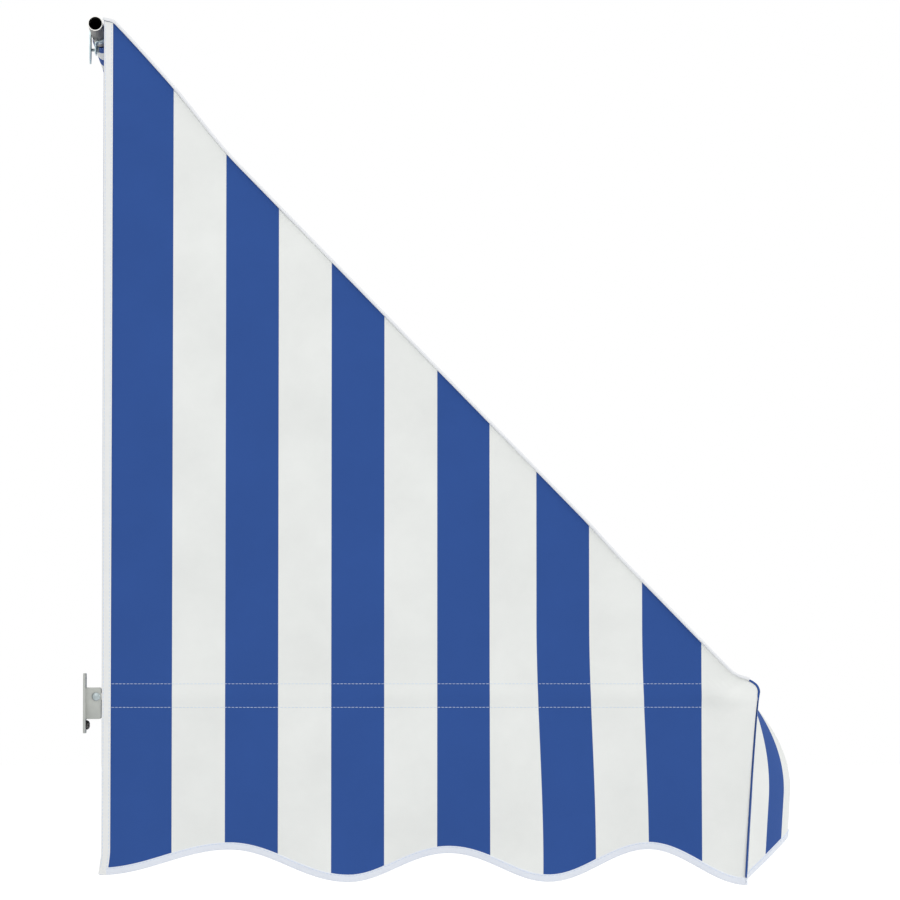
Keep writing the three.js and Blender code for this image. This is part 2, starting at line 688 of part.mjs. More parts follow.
// A wall plate with two cheeks that hold the arm's end, folded and welded as one piece.
function bracketGeometry() {
  const drop = DROP - BRACKET_DROP;
  const inner = ROD_R + FIT;
  const plate = roundedRect(PLATE_WIDTH, PLATE_HEIGHT, PLATE_CORNER, 0, drop);
  let made = solid(slabYZ(plate, 0, PLATE));
  const web = roundedRect((inner + CHEEK) * 2, CHEEK_HEIGHT, CHEEK_CORNER, 0, drop);
  made = made.add(solid(slabYZ(web, PLATE / 2, PLATE + CHEEK)));
  const reach = CHEEK_REACH - PLATE / 2;
  const cheek = roundedRect(reach, CHEEK_HEIGHT, CHEEK_CORNER, PLATE / 2 + reach / 2, drop);
  for (const side of [-1, 1]) {
    const low = side < 0 ? -inner - CHEEK : inner;
    made = made.add(solid(slabXZ(cheek, low, low + CHEEK)));
  }
  const hole = rodY(BOLT_OD / 2 + HOLE_CLEARANCE / 2, -TUBE_OD, TUBE_OD).translate(BOLT_X, 0, 0);
  made = made.subtract(solid(hole));
  for (const up of [-1, 1]) {
    const bore = rodX(WALL_SCREW_SHANK / 2 + HOLE_CLEARANCE / 2, -1, PLATE + 1, 16);
    made = made.subtract(solid(bore.translate(0, 0, drop + (up * PLATE_HOLE_PITCH) / 2)));
  }
  return geometryOf(made);
}

// A round bolt along Y: low domed head at the high end, threaded tail at the low end.
function armBolt(seat, tail) {
  const profile = [
    [0, tail],
    [BOLT_OD / 2 - 0.7, tail],
    [BOLT_OD / 2, tail + 0.8],
    [BOLT_OD / 2, seat],
    [BOLT_HEAD_OD / 2, seat],
    [BOLT_HEAD_OD / 2, seat + BOLT_HEAD_HEIGHT * 0.3],
    [BOLT_HEAD_OD * 0.36, seat + BOLT_HEAD_HEIGHT * 0.8],
    [0, seat + BOLT_HEAD_HEIGHT],
  ];
  return new THREE.LatheGeometry(profile.map(([r, h]) => new THREE.Vector2(r, h)), TUBE_SIDES);
}

function buildBrackets() {
  const bracket = bracketGeometry();
  const outside = ROD_R + FIT + CHEEK + FIT;
  const nutSeat = -outside - WASHER - FIT;
  const screw = screwX(WALL_SCREW_HEAD, WALL_SCREW_HEIGHT, WALL_SCREW_SHANK, PLATE + FIT, FIT);
  const bolt = armBolt(outside, nutSeat - NUT_HEIGHT - BOLT_TAIL);
  const washer = tubeY(WASHER_OD / 2, BOLT_OD / 2 + FIT, -outside - WASHER, -outside);
  const nutHole = solid(rodY(BOLT_OD / 2 + FIT, -TUBE_OD * 2, 0));
  const hex = solid(rodY(NUT_AF / Math.sqrt(3), nutSeat - NUT_HEIGHT, nutSeat, 6));
  const nut = geometryOf(hex.subtract(nutHole));
  for (const [name, side] of SIDES) {
    const holder = new THREE.Group();
    holder.position.set(0, side * ARM_Y, -DROP);
    frame.add(holder);
    piece(holder, "wall_bracket_" + name, bracket, PAINT.bracket);
    const low = DROP - BRACKET_DROP - PLATE_HOLE_PITCH / 2;
    piece(holder, "wall_screw_" + name, screw, PAINT.screw).position.z = low;
    for (const [part, geometry] of Object.entries({ bolt, washer, nut })) {
      const mesh = piece(holder, `arm_${part}_${name}`, geometry, PAINT.zinc);
      mesh.position.x = BOLT_X;
      mesh.rotation.z = side < 0 ? Math.PI : 0;
    }
  }
}

function buildCover() {
  piece(cover, "roof_sheet", roofSheet(), PAINT.cloth);
  piece(cover, "front_bar_pocket", barPocket(), PAINT.whiteCloth);
  piece(cover, "front_binding", sheet(COLUMNS, frontBindingLine, BINDING_THICKNESS), PAINT.tape);
  for (const [name, side] of SIDES) {
    const wing = wingGeometry();
    piece(cover, "wing_" + name, wing, PAINT.cloth).position.y = side < 0 ? -HALF : WING_IN;
    const middle = side * (HALF - CLOTH / 2);
    const binding = piece(cover, "side_binding_" + name, sideBinding(), PAINT.tape);
    binding.position.y = middle - BINDING_THICKNESS / 2;
    const tape = piece(cover, "back_tape_" + name, backTape(), PAINT.tape);
    tape.position.y = side < 0 ? -HALF - FIT - TAPE_THICKNESS : HALF + FIT;
    piece(cover, "slope_piping_" + name, piping(side), PAINT.tape);
    piece(cover, "arm_pocket_" + name, armPocket(side), PAINT.whiteCloth);
  }
}

buildHead();
buildArms();
buildBrackets();
buildCover();

export default awning;
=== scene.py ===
"""Fixed window awning: striped woven cover over a bent tube frame, dressed for a studio view."""

import logging
import math
from dataclasses import dataclass, field
from enum import Enum
from typing import Callable, Sequence

import bmesh
import bpy
from mathutils import Matrix, Vector, noise


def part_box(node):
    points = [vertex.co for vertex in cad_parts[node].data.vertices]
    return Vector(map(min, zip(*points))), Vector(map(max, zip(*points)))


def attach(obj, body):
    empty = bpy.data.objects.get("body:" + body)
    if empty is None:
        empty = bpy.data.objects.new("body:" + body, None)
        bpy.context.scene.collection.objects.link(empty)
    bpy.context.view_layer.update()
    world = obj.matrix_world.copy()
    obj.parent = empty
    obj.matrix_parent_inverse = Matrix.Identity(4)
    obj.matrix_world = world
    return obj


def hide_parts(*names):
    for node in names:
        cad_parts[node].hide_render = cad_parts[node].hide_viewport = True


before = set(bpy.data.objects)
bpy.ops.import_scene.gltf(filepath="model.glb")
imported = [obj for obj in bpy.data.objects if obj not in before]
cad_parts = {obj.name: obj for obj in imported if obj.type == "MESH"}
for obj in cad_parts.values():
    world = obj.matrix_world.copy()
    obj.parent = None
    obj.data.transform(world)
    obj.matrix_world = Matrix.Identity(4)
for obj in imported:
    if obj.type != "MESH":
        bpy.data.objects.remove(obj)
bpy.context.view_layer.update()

log = logging.getLogger("awning")
MM = 0.001
SIDES = {"left": -1, "right": 1}


def smooth(value: float) -> float:
    """Eases a share between 0 and 1."""
    t = min(max(value, 0.0), 1.0)
    return t * t * (3.0 - 2.0 * t)


def mix(low: float, high: float, share: float) -> float:
    """A value between two others."""
    return low + (high - low) * share


def linear(shade: str) -> tuple[float, float, float, float]:
    """An sRGB hex colour as linear red, green, blue and alpha.

    Args:
        shade: The colour, as # and six hex digits.

    Returns:
        Its linear values, with an alpha of 1.
    """
    parts = [int(shade[i:i + 2], 16) / 255 for i in (1, 3, 5)]
    line = [c / 12.92 if c <= 0.04045 else ((c + 0.055) / 1.055) ** 2.4 for c in parts]
    return (line[0], line[1], line[2], 1.0)


class Slot(Enum):
    """The record's material slots."""

    TUBE = "galvanised_tube"
    STRAP = "zinc_strap"
    FASTENER = "zinc_fastener"
    BRACKET = "painted_bracket"
    DARK = "dark_screw"
    STRIPED = "striped_cloth"
    WHITE = "white_cloth"
    TAPE = "binding_tape"


# Materials

def add_node(tree: bpy.types.NodeTree, kind: str, settings: dict | None = None, links: dict | None = None,
             into: bpy.types.NodeSocket | None = None) -> bpy.types.Node:
    """Adds a node.

    Args:
        tree: The material's node tree.
        kind: The node's type name.
        settings: Values by attribute name, or by input name or number.
        links: Output sockets by the input they go to.
        into: An input that the node's first enabled output goes to.

    Returns:
        The new node.
    """
    node = tree.nodes.new(kind)
    for key, value in (settings or {}).items():
        if isinstance(key, str) and hasattr(node, key) and key not in node.inputs:
            setattr(node, key, value)
        else:
            node.inputs[key].default_value = value
    for key, socket in (links or {}).items():
        tree.links.new(socket, node.inputs[key])
    if into:
        tree.links.new(next(o for o in node.outputs if o.enabled), into)
    return node


@dataclass(frozen=True)
class Finish:
    """A surface: what it is made of and how it takes light."""

    name: str
    base: str
    roughness: float = 0.5
    metallic: float = 0.0
    ior: float = 1.5

    def make(self) -> bpy.types.Material:
        """Builds the material, or returns the one that is there.

        Returns:
            The finished material.
        """
        made = bpy.data.materials.get(self.name)
        if made:
            return made
        made = bpy.data.materials.new(self.name)
        made.use_nodes = True
        tree = made.node_tree
        tree.nodes.clear()
        settings = {"Metallic": self.metallic, "Roughness": self.roughness, "Base Color": linear(self.base)}
        if self.metallic < 0.5:
            settings["IOR"] = self.ior
        shader = add_node(tree, "ShaderNodeBsdfPrincipled", settings)
        self.dress(tree, shader)
        add_node(tree, "ShaderNodeOutputMaterial", links={"Surface": shader.outputs[0]})
        return made

    def dress(self, tree: bpy.types.NodeTree, shader: bpy.types.Node) -> None:
        """Adds the surface's own patterns.

        Args:
            tree: The material's node tree.
            shader: Its Principled node.
        """


def per_metre(size_mm: float) -> float:
    """The scale of a noise whose grains are a size in millimetres."""
    return 1.0 / (size_mm * MM)


@dataclass(frozen=True)
class Galvanised(Finish):
    """Hot-dip galvanised steel: dull grey zinc with soft crystals, a little streaked along the tube."""

    darker: str = "#5E5C5A"
    crystal_mm: float = 6.0

    def dress(self, tree: bpy.types.NodeTree, shader: bpy.types.Node) -> None:
        """Crystals change the tone and the gloss, so the tube looks cloudy and not chromed.

        Args:
            tree: The material's node tree.
            shader: Its Principled node.
        """
        place = add_node(tree, "ShaderNodeTexCoord").outputs["Object"]
        crystals = add_node(tree, "ShaderNodeTexVoronoi", {"Scale": per_metre(self.crystal_mm)},
                            {"Vector": place})
        clouds = add_node(tree, "ShaderNodeTexNoise", {"Scale": per_metre(40), "Detail": 4.0},
                          {"Vector": place})
        both = add_node(tree, "ShaderNodeMix", {"data_type": "FLOAT", "Factor": 0.55},
                        {"A": crystals.outputs["Color"], "B": clouds.outputs["Fac"]})
        add_node(tree, "ShaderNodeMix", {"data_type": "RGBA", 6: linear(self.darker), 7: linear(self.base)},
                 {"Factor": both.outputs[0]}, shader.inputs["Base Color"])
        add_node(tree, "ShaderNodeMapRange",
                 {"To Min": self.roughness - 0.1, "To Max": self.roughness + 0.12},
                 {"Value": both.outputs[0]}, shader.inputs["Roughness"])
        add_node(tree, "ShaderNodeBump", {"Strength": 0.35, "Distance": 0.15 * MM},
                 {"Height": clouds.outputs["Fac"]},
                 shader.inputs["Normal"])


@dataclass(frozen=True)
class ZincPlate(Finish):
    """Bright zinc plate on pressed steel: pale and slightly blue, with a brushed grain."""

    tint: str = "#C9D6D8"
    grain_mm: float = 0.8

    def dress(self, tree: bpy.types.NodeTree, shader: bpy.types.Node) -> None:
        """A stretched fine noise gives the pressed sheet's grain, and clouds give the passivated tint.

        Args:
            tree: The material's node tree.
            shader: Its Principled node.
        """
        place = add_node(tree, "ShaderNodeTexCoord").outputs["Object"]
        long = add_node(tree, "ShaderNodeMapping", {"Scale": (1.0, 0.12, 1.0)}, {"Vector": place})
        grain = add_node(tree, "ShaderNodeTexNoise", {"Scale": per_metre(self.grain_mm), "Detail": 3.0},
                         {"Vector": long.outputs[0]})
        clouds = add_node(tree, "ShaderNodeTexNoise", {"Scale": per_metre(9), "Detail": 2.0},
                          {"Vector": place})
        add_node(tree, "ShaderNodeMix", {"data_type": "RGBA", 6: linear(self.base), 7: linear(self.tint)},
                 {"Factor": clouds.outputs["Fac"]}, shader.inputs["Base Color"])
        add_node(tree, "ShaderNodeMapRange",
                 {"To Min": self.roughness - 0.08, "To Max": self.roughness + 0.1},
                 {"Value": grain.outputs["Fac"]}, shader.inputs["Roughness"])
        add_node(tree, "ShaderNodeBump", {"Strength": 0.4, "Distance": 0.05 * MM},
                 {"Height": grain.outputs["Fac"]},
                 shader.inputs["Normal"])


@dataclass(frozen=True)
class PowderCoat(Finish):
    """Powder coated steel: satin paint with a fine orange peel."""

    darker: str = "#ABADA8"
    peel_mm: float = 1.1

    def dress(self, tree: bpy.types.NodeTree, shader: bpy.types.Node) -> None:
        """The peel breaks the highlight, and the tone drifts a little with the film's thickness.

        Args:
            tree: The material's node tree.
            shader: Its Principled node.
        """
        place = add_node(tree, "ShaderNodeTexCoord").outputs["Object"]
        peel = add_node(tree, "ShaderNodeTexNoise", {"Scale": per_metre(self.peel_mm), "Detail": 2.0},
                        {"Vector": place})
        drift = add_node(tree, "ShaderNodeTexNoise", {"Scale": per_metre(25), "Detail": 2.0},
                         {"Vector": place})
        add_node(tree, "ShaderNodeMix", {"data_type": "RGBA", 6: linear(self.darker), 7: linear(self.base)},
                 {"Factor": drift.outputs["Fac"]}, shader.inputs["Base Color"])
        add_node(tree, "ShaderNodeBump", {"Strength": 0.5, "Distance": 0.08 * MM},
                 {"Height": peel.outputs["Fac"]},
                 shader.inputs["Normal"])


@dataclass(frozen=True)
class BlackOxide(Finish):
    """Black oxide on a turned screw: near black, oily, worn paler where a driver has touched it."""

    bare: str = "#8C8A86"

    def dress(self, tree: bpy.types.NodeTree, shader: bpy.types.Node) -> None:
        """Small specks of bare steel break up the black.

        Args:
            tree: The material's node tree.
            shader: Its Principled node.
        """
        place = add_node(tree, "ShaderNodeTexCoord").outputs["Object"]
        specks = add_node(tree, "ShaderNodeTexNoise", {"Scale": per_metre(1.6), "Detail": 3.0},
                          {"Vector": place})
        share = add_node(tree, "ShaderNodeMapRange", {"From Min": 0.5, "From Max": 0.75},
                         {"Value": specks.outputs["Fac"]})
        add_node(tree, "ShaderNodeMix", {"data_type": "RGBA", 6: linear(self.base), 7: linear(self.bare)},
                 {"Factor": share.outputs[0]}, shader.inputs["Base Color"])
        add_node(tree, "ShaderNodeBump", {"Strength": 0.5, "Distance": 0.05 * MM},
                 {"Height": specks.outputs["Fac"]},
                 shader.inputs["Normal"])


@dataclass(frozen=True)
class WovenCloth(Finish):
    """Plain woven acrylic awning cloth: matt, with fine ribs of yarn both ways.

    The piece's UV map is the flat cloth in metres. The yarn is about 0.5 mm, and it is drawn at 1.5 mm so
    that it shows.
    """

    yarn_mm: float = 1.5
    under: str = "#E0E3DF"

    def dress(self, tree: bpy.types.NodeTree, shader: bpy.types.Node) -> None:
        """Yarns give the bump, and soft clouds keep a wide stripe from looking printed.

        Args:
            tree: The material's node tree.
            shader: Its Principled node.
        """
        shader.inputs["Specular IOR Level"].default_value = 0.2
        flat = add_node(tree, "ShaderNodeUVMap").outputs[0]
        split = add_node(tree, "ShaderNodeSeparateXYZ", links={0: flat})
        tone = self.tone(tree, split.outputs[0])
        clouds = add_node(tree, "ShaderNodeTexNoise", {"Scale": 9.0, "Detail": 5.0, "Roughness": 0.6},
                          {"Vector": flat})
        value = add_node(tree, "ShaderNodeMapRange",
                         {"From Min": 0.3, "From Max": 0.7, "To Min": 0.965, "To Max": 1.035},
                         {"Value": clouds.outputs["Fac"]})
        add_node(tree, "ShaderNodeHueSaturation", links={"Color": tone, "Value": value.outputs[0]},
                 into=shader.inputs["Base Color"])
        turn = 2.0 * math.pi / (self.yarn_mm * MM)
        ribs = []
        for axis in (0, 1):
            angle = add_node(tree, "ShaderNodeMath", {"operation": "MULTIPLY", 1: turn},
                             {0: split.outputs[axis]})
            ribs.append(add_node(tree, "ShaderNodeMath", {"operation": "SINE"},
                                 {0: angle.outputs[0]}).outputs[0])
        weave = add_node(tree, "ShaderNodeMath", {"operation": "MULTIPLY"}, {0: ribs[0], 1: ribs[1]})
        slubs = add_node(tree, "ShaderNodeTexNoise", {"Scale": per_metre(4), "Detail": 4.0}, {"Vector": flat})
        height = add_node(tree, "ShaderNodeMath", {"operation": "MULTIPLY_ADD", 1: 0.25},
                          {0: weave.outputs[0], 2: slubs.outputs["Fac"]})
        add_node(tree, "ShaderNodeBump", {"Strength": 0.35, "Distance": 0.12 * MM},
                 {"Height": height.outputs[0]},
                 shader.inputs["Normal"])

    def tone(self, tree: bpy.types.NodeTree, across: bpy.types.NodeSocket) -> bpy.types.NodeSocket:
        """The yarn's colour at a place across the cloth, the same all over in a plain one."""
        return self.plain(tree)

    def plain(self, tree: bpy.types.NodeTree) -> bpy.types.NodeSocket:
        """One colour of yarn.

        Args:
            tree: The material's node tree.

        Returns:
            The colour, as an output socket.
        """
        flat = add_node(tree, "ShaderNodeUVMap").outputs[0]
        yarns = add_node(tree, "ShaderNodeTexNoise", {"Scale": per_metre(1.2), "Detail": 2.0},
                         {"Vector": flat})
        both = add_node(tree, "ShaderNodeMix",
                        {"data_type": "RGBA", 6: linear(self.under), 7: linear(self.base)},
                        {"Factor": yarns.outputs["Fac"]})
        return both.outputs[2]


@dataclass(frozen=True)
class StripedCloth(WovenCloth):
    """The same cloth woven in even stripes: solution-dyed blue and white warp yarns.

    A stripe is given in metres, and edge is how steeply one colour turns into the other.
    """

    white: str = "#F7F8F3"
    stripe: float = 71 * MM
    edge: float = 40.0

    def tone(self, tree: bpy.types.NodeTree, across: bpy.types.NodeSocket) -> bpy.types.NodeSocket:
        """Blue where the sine of the place across the cloth is positive, with an edge one yarn wide.

        Args:
            tree: The material's node tree.
            across: The place across the cloth, in metres.

        Returns:
            The colour, as an output socket.
        """
        angle = add_node(tree, "ShaderNodeMath", {"operation": "MULTIPLY", 1: math.pi / self.stripe},
                         {0: across})
        wave = add_node(tree, "ShaderNodeMath", {"operation": "SINE"}, {0: angle.outputs[0]})
        share = add_node(tree, "ShaderNodeMath",
                         {"operation": "MULTIPLY_ADD", 1: self.edge, 2: 0.5, "use_clamp": True},
                         {0: wave.outputs[0]})
        both = add_node(tree, "ShaderNodeMix",
                        {"data_type": "RGBA", 6: linear(self.white), 7: linear(self.base)},
                        {"Factor": share.outputs[0]})
        return both.outputs[2]


@dataclass(frozen=True)
class Tape(Finish):
    """Woven polyester tape: smoother than the cloth, with a slanting rib along it."""

    rib_mm: float = 1.6
    shade: str = "#DDE3EE"

    def dress(self, tree: bpy.types.NodeTree, shader: bpy.types.Node) -> None:
        """Slanting ribs give the bump, and a fine noise keeps the tape from looking moulded.

        Args:
            tree: The material's node tree.
            shader: Its Principled node.
        """
        flat = add_node(tree, "ShaderNodeUVMap").outputs[0]
        split = add_node(tree, "ShaderNodeSeparateXYZ", links={0: flat})
        slant = add_node(tree, "ShaderNodeMath", {"operation": "ADD"},
                         {0: split.outputs[0], 1: split.outputs[1]})
        angle = add_node(tree, "ShaderNodeMath",
                         {"operation": "MULTIPLY", 1: 2 * math.pi / (self.rib_mm * MM)},
                         {0: slant.outputs[0]})
        ribs = add_node(tree, "ShaderNodeMath", {"operation": "SINE"}, {0: angle.outputs[0]})
        clouds = add_node(tree, "ShaderNodeTexNoise", {"Scale": 60.0, "Detail": 3.0}, {"Vector": flat})
        add_node(tree, "ShaderNodeMix", {"data_type": "RGBA", 6: linear(self.shade), 7: linear(self.base)},
                 {"Factor": clouds.outputs["Fac"]}, shader.inputs["Base Color"])
        add_node(tree, "ShaderNodeBump", {"Strength": 0.4, "Distance": 0.08 * MM},
                 {"Height": ribs.outputs[0]},
                 shader.inputs["Normal"])


@dataclass(frozen=True)
class Thread(Finish):
    """Twisted polyester sewing thread, slightly glossy, with a darker colour painted in as shade where the
    plies turn in.
    """

    # The darker colour is painted shade for the twist's grooves.
    shade: str = "#D2E1F6"

    def dress(self, tree: bpy.types.NodeTree, shader: bpy.types.Node) -> None:
        """A fine noise stands for the twist, mixing in the darker colour as painted shade.

        Args:
            tree: The material's node tree.
            shader: Its Principled node.
        """
        place = add_node(tree, "ShaderNodeTexCoord").outputs["Object"]
        twist = add_node(tree, "ShaderNodeTexNoise", {"Scale": per_metre(0.7), "Detail": 1.0},
                         {"Vector": place})
        add_node(tree, "ShaderNodeMix", {"data_type": "RGBA", 6: linear(self.shade), 7: linear(self.base)},
                 {"Factor": twist.outputs["Fac"]}, shader.inputs["Base Color"])


# Sawn ends: bare steel, made near-white also as a painted highlight where the tube's lip catches the light.
SAWN_END_AND_HIGHLIGHT = Galvanised("sawn tube end and painted highlight", "#E9E8E5", 0.42, 1.0, darker="#CFCDC9")
GALVANISED = Galvanised("galvanised steel", "#6E6D6A", 0.5, 1.0)
ZINC = ZincPlate("bright zinc plate", "#8FA3A8", 0.34, 1.0)
FASTENER = ZincPlate("zinc plated screws", "#838A8B", 0.42, 1.0)
POWDER = PowderCoat("grey powder coat", "#CBCDC5", 0.5)
BLACK = BlackOxide("black oxide", "#2B2A29", 0.42, 0.7)
STRIPED = StripedCloth("striped awning cloth", "#34579C", 0.9)
WHITE = WovenCloth("white awning cloth", "#E6E9E5", 0.88)
HEM_TAPE = Tape("white hem binding", "#F5F8FD", 0.75, shade="#EAEFF8")
EDGE_TAPE = Tape("white edge tape", "#FAFAF7", 0.75, shade="#F4F4F0")
PIPING = Tape("white seam piping", "#FBFBFB", 0.7, shade="#F2F3F4")
THREAD = Thread("pale blue-white thread", "#E6EFFC", 0.6)


# Mesh tools

def finish_piece(name: str, bm: bmesh.types.BMesh, surface: Finish, place: Slot,
                 stands_for: Sequence[str] = (),
                 angle: float = 35.0) -> bpy.types.Object:
    """Turns a bmesh into a piece that rides on the awning.

    Args:
        name: The piece's name.
        bm: Its mesh, which is freed.
        surface: The finish it takes.
        place: The record's slot it belongs to; not used.
        stands_for: The CAD nodes it replaces.
        angle: Edges sharper than this stay sharp, in degrees.

    Returns:
        The new object.
    """
    for face in bm.faces:
        face.smooth = True
    for edge in bm.edges:
        if edge.is_manifold and edge.calc_face_angle() > math.radians(angle):
            edge.smooth = False
    mesh = bpy.data.meshes.new(name)
    bm.to_mesh(mesh)
    bm.free()
    piece = bpy.data.objects.new(name, mesh)
    bpy.context.scene.collection.objects.link(piece)
    piece.data.materials.append(surface.make())
    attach(piece, "root")
    if stands_for:
        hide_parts(*stands_for)
    log.info("%s: %d faces, %s", name, len(mesh.polygons), surface.name)
    return piece


def grid(bm: bmesh.types.BMesh, columns: int, rows: int, place: Callable[[int, int], Vector],
         flat: Callable[[int, int], tuple[float, float]] | None = None) -> None:
    """Shapes a grid by a rule.

    Args:
        bm: The mesh that the grid is added to.
        columns: Steps across.
        rows: Steps along.
        place: Where a grid point goes, by its column and row.
        flat: Its place on the flat cloth in metres, by its column and row.
    """
    made = bmesh.ops.create_grid(bm, x_segments=columns, y_segments=rows, size=0.5, calc_uvs=False)
    spots = {v: (round((v.co.x + 0.5) * columns), round((v.co.y + 0.5) * rows)) for v in made["verts"]}
    layer = bm.loops.layers.uv.verify()
    faces = {f for v in made["verts"] for f in v.link_faces}
    if flat:
        for face in faces:
            for loop in face.loops:
                loop[layer].uv = flat(*spots[loop.vert])
    for vertex, spot in spots.items():
        vertex.co = place(*spot)


def outward(bm: bmesh.types.BMesh) -> None:
    """Welds a closed shape and turns its faces out."""
    bmesh.ops.remove_doubles(bm, verts=bm.verts[:], dist=1e-6)
    bmesh.ops.recalc_face_normals(bm, faces=bm.faces[:])


def ring_frame(path: Sequence[Vector], index: int, up: Vector) -> tuple[Vector, Vector]:
    """Two directions square to a path at one of its points.

    Args:
        path: The path's points.
        index: The point's number.
        up: A direction that is never along the path.

    Returns:
        The directions to the side and up.
    """
    before, after = path[max(index - 1, 0)], path[min(index + 1, len(path) - 1)]
    along = (after - before).normalized()
    side = along.cross(up).normalized()
    return side, side.cross(along).normalized()


def sweep(bm: bmesh.types.BMesh, path: Sequence[Vector], section: Sequence[tuple[float, float]], up: Vector,
          capped: bool = True) -> None:
    """Runs a closed section along a path.

    Args:
        bm: The mesh it is added to.
        path: The points that the section passes.
        section: Its outline, as distances to the side and up.
        up: A direction that is never along the path.
        capped: Whether the ends are closed.
    """
    frames = [ring_frame(path, i, up) for i in range(len(path))]
    lengths = [0.0]
    for a, b in zip(path, path[1:]):
        lengths.append(lengths[-1] + (b - a).length)
    count = len(section)
    round_it = [0.0]
    for i in range(count):
        (ax, ay), (bx, by) = section[i], section[(i + 1) % count]
        round_it.append(round_it[-1] + math.hypot(bx - ax, by - ay))

    def place(column: int, row: int) -> Vector:
        """A point of the section's outline at a point of the path.

        Args:
            column: The point's number in the section.
            row: The number of the path's point.

        Returns:
            The point.
        """
        side, rise = frames[row]
        x, y = section[column % count]
        return path[row] + side * x + rise * y

    part = bmesh.new()
    grid(part, count, len(path) - 1, place, lambda c, r: (round_it[c], lengths[r]))
    bmesh.ops.remove_doubles(part, verts=part.verts[:], dist=1e-7)
    if capped:
        bmesh.ops.holes_fill(part, edges=[e for e in part.edges if e.is_boundary], sides=count + 1)
    bmesh.ops.recalc_face_normals(part, faces=part.faces[:])
    join(bm, part)


def join(bm: bmesh.types.BMesh, part: bmesh.types.BMesh) -> None:
    """Adds one bmesh to another and frees it.

    Args:
        bm: The mesh that grows.
        part: The mesh that is added.
    """
    spare = bpy.data.meshes.new("spare")
    part.to_mesh(spare)
    part.free()
    bm.from_mesh(spare)
    bpy.data.meshes.remove(spare)


def tube(path: Sequence[Vector], outer: float, inner: float, up: Vector,
         around: int = 56) -> bmesh.types.BMesh:
    """A hollow tube with softly rounded ends.

    Args:
        path: The tube's axis.
        outer: Its outer radius.
        inner: Its bore's radius.
        up: A direction that is never along the axis.
        around: Steps around it.

    Returns:
        The tube as a bmesh.
    """
    frames = [ring_frame(path, i, up) for i in range(len(path))]
    last = len(path) - 1
    lip = (outer - inner) * 0.25
    rings = [(0, outer - lip, 0.0), (0, outer, lip)]
    rings += [(i, outer, 0.0) for i in range(1, last)]
    rings += [(last, outer, -lip), (last, outer - lip, 0.0), (last, inner + lip, 0.0), (last, inner, -lip)]
    rings += [(i, inner, 0.0) for i in range(last - 1, 0, -1)]
    rings += [(0, inner, lip), (0, inner + lip, 0.0), (0, outer - lip, 0.0)]

    def place(column: int, row: int) -> Vector:
        """A point of one of the rings that run out over the tube and back through its bore.

        Args:
            column: The point's number round the ring.
            row: The number of the ring.

        Returns:
            The point.
        """
        index, radius, shift = rings[row]
        side, rise = frames[index]
        along = rise.cross(side)
        angle = 2 * math.pi * column / around
        return path[index] - along * shift + (side * math.cos(angle) + rise * math.sin(angle)) * radius

    bm = bmesh.new()
    grid(bm, around, len(rings) - 1, place)
    outward(bm)
    return bm


def dressed_copy(node: str, name: str, surface: Finish, place: Slot, bevel: float) -> bpy.types.Object:
    """Replaces a CAD node by a copy of itself with softened edges.

    Args:
        node: The CAD node.
        name: The new piece's name.
        surface: The finish it takes.
        place: The record's slot.
        bevel: How wide the softened edges are, in metres.

    Returns:
        The new object.
    """
    bm = bmesh.new()
    bm.from_mesh(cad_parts[node].data)
    bmesh.ops.remove_doubles(bm, verts=bm.verts[:], dist=1e-6)
    bmesh.ops.dissolve_limit(bm, angle_limit=math.radians(1), verts=bm.verts[:], edges=bm.edges[:])
    sharp = [e for e in bm.edges if e.is_manifold and e.calc_face_angle() > math.radians(38)]
    bmesh.ops.bevel(bm, geom=sharp, offset=bevel, segments=2, profile=0.5, affect="EDGES", material=-1,
                    clamp_overlap=True)
    return finish_piece(name, bm, surface, place, [node], 50)


# The cover's shape

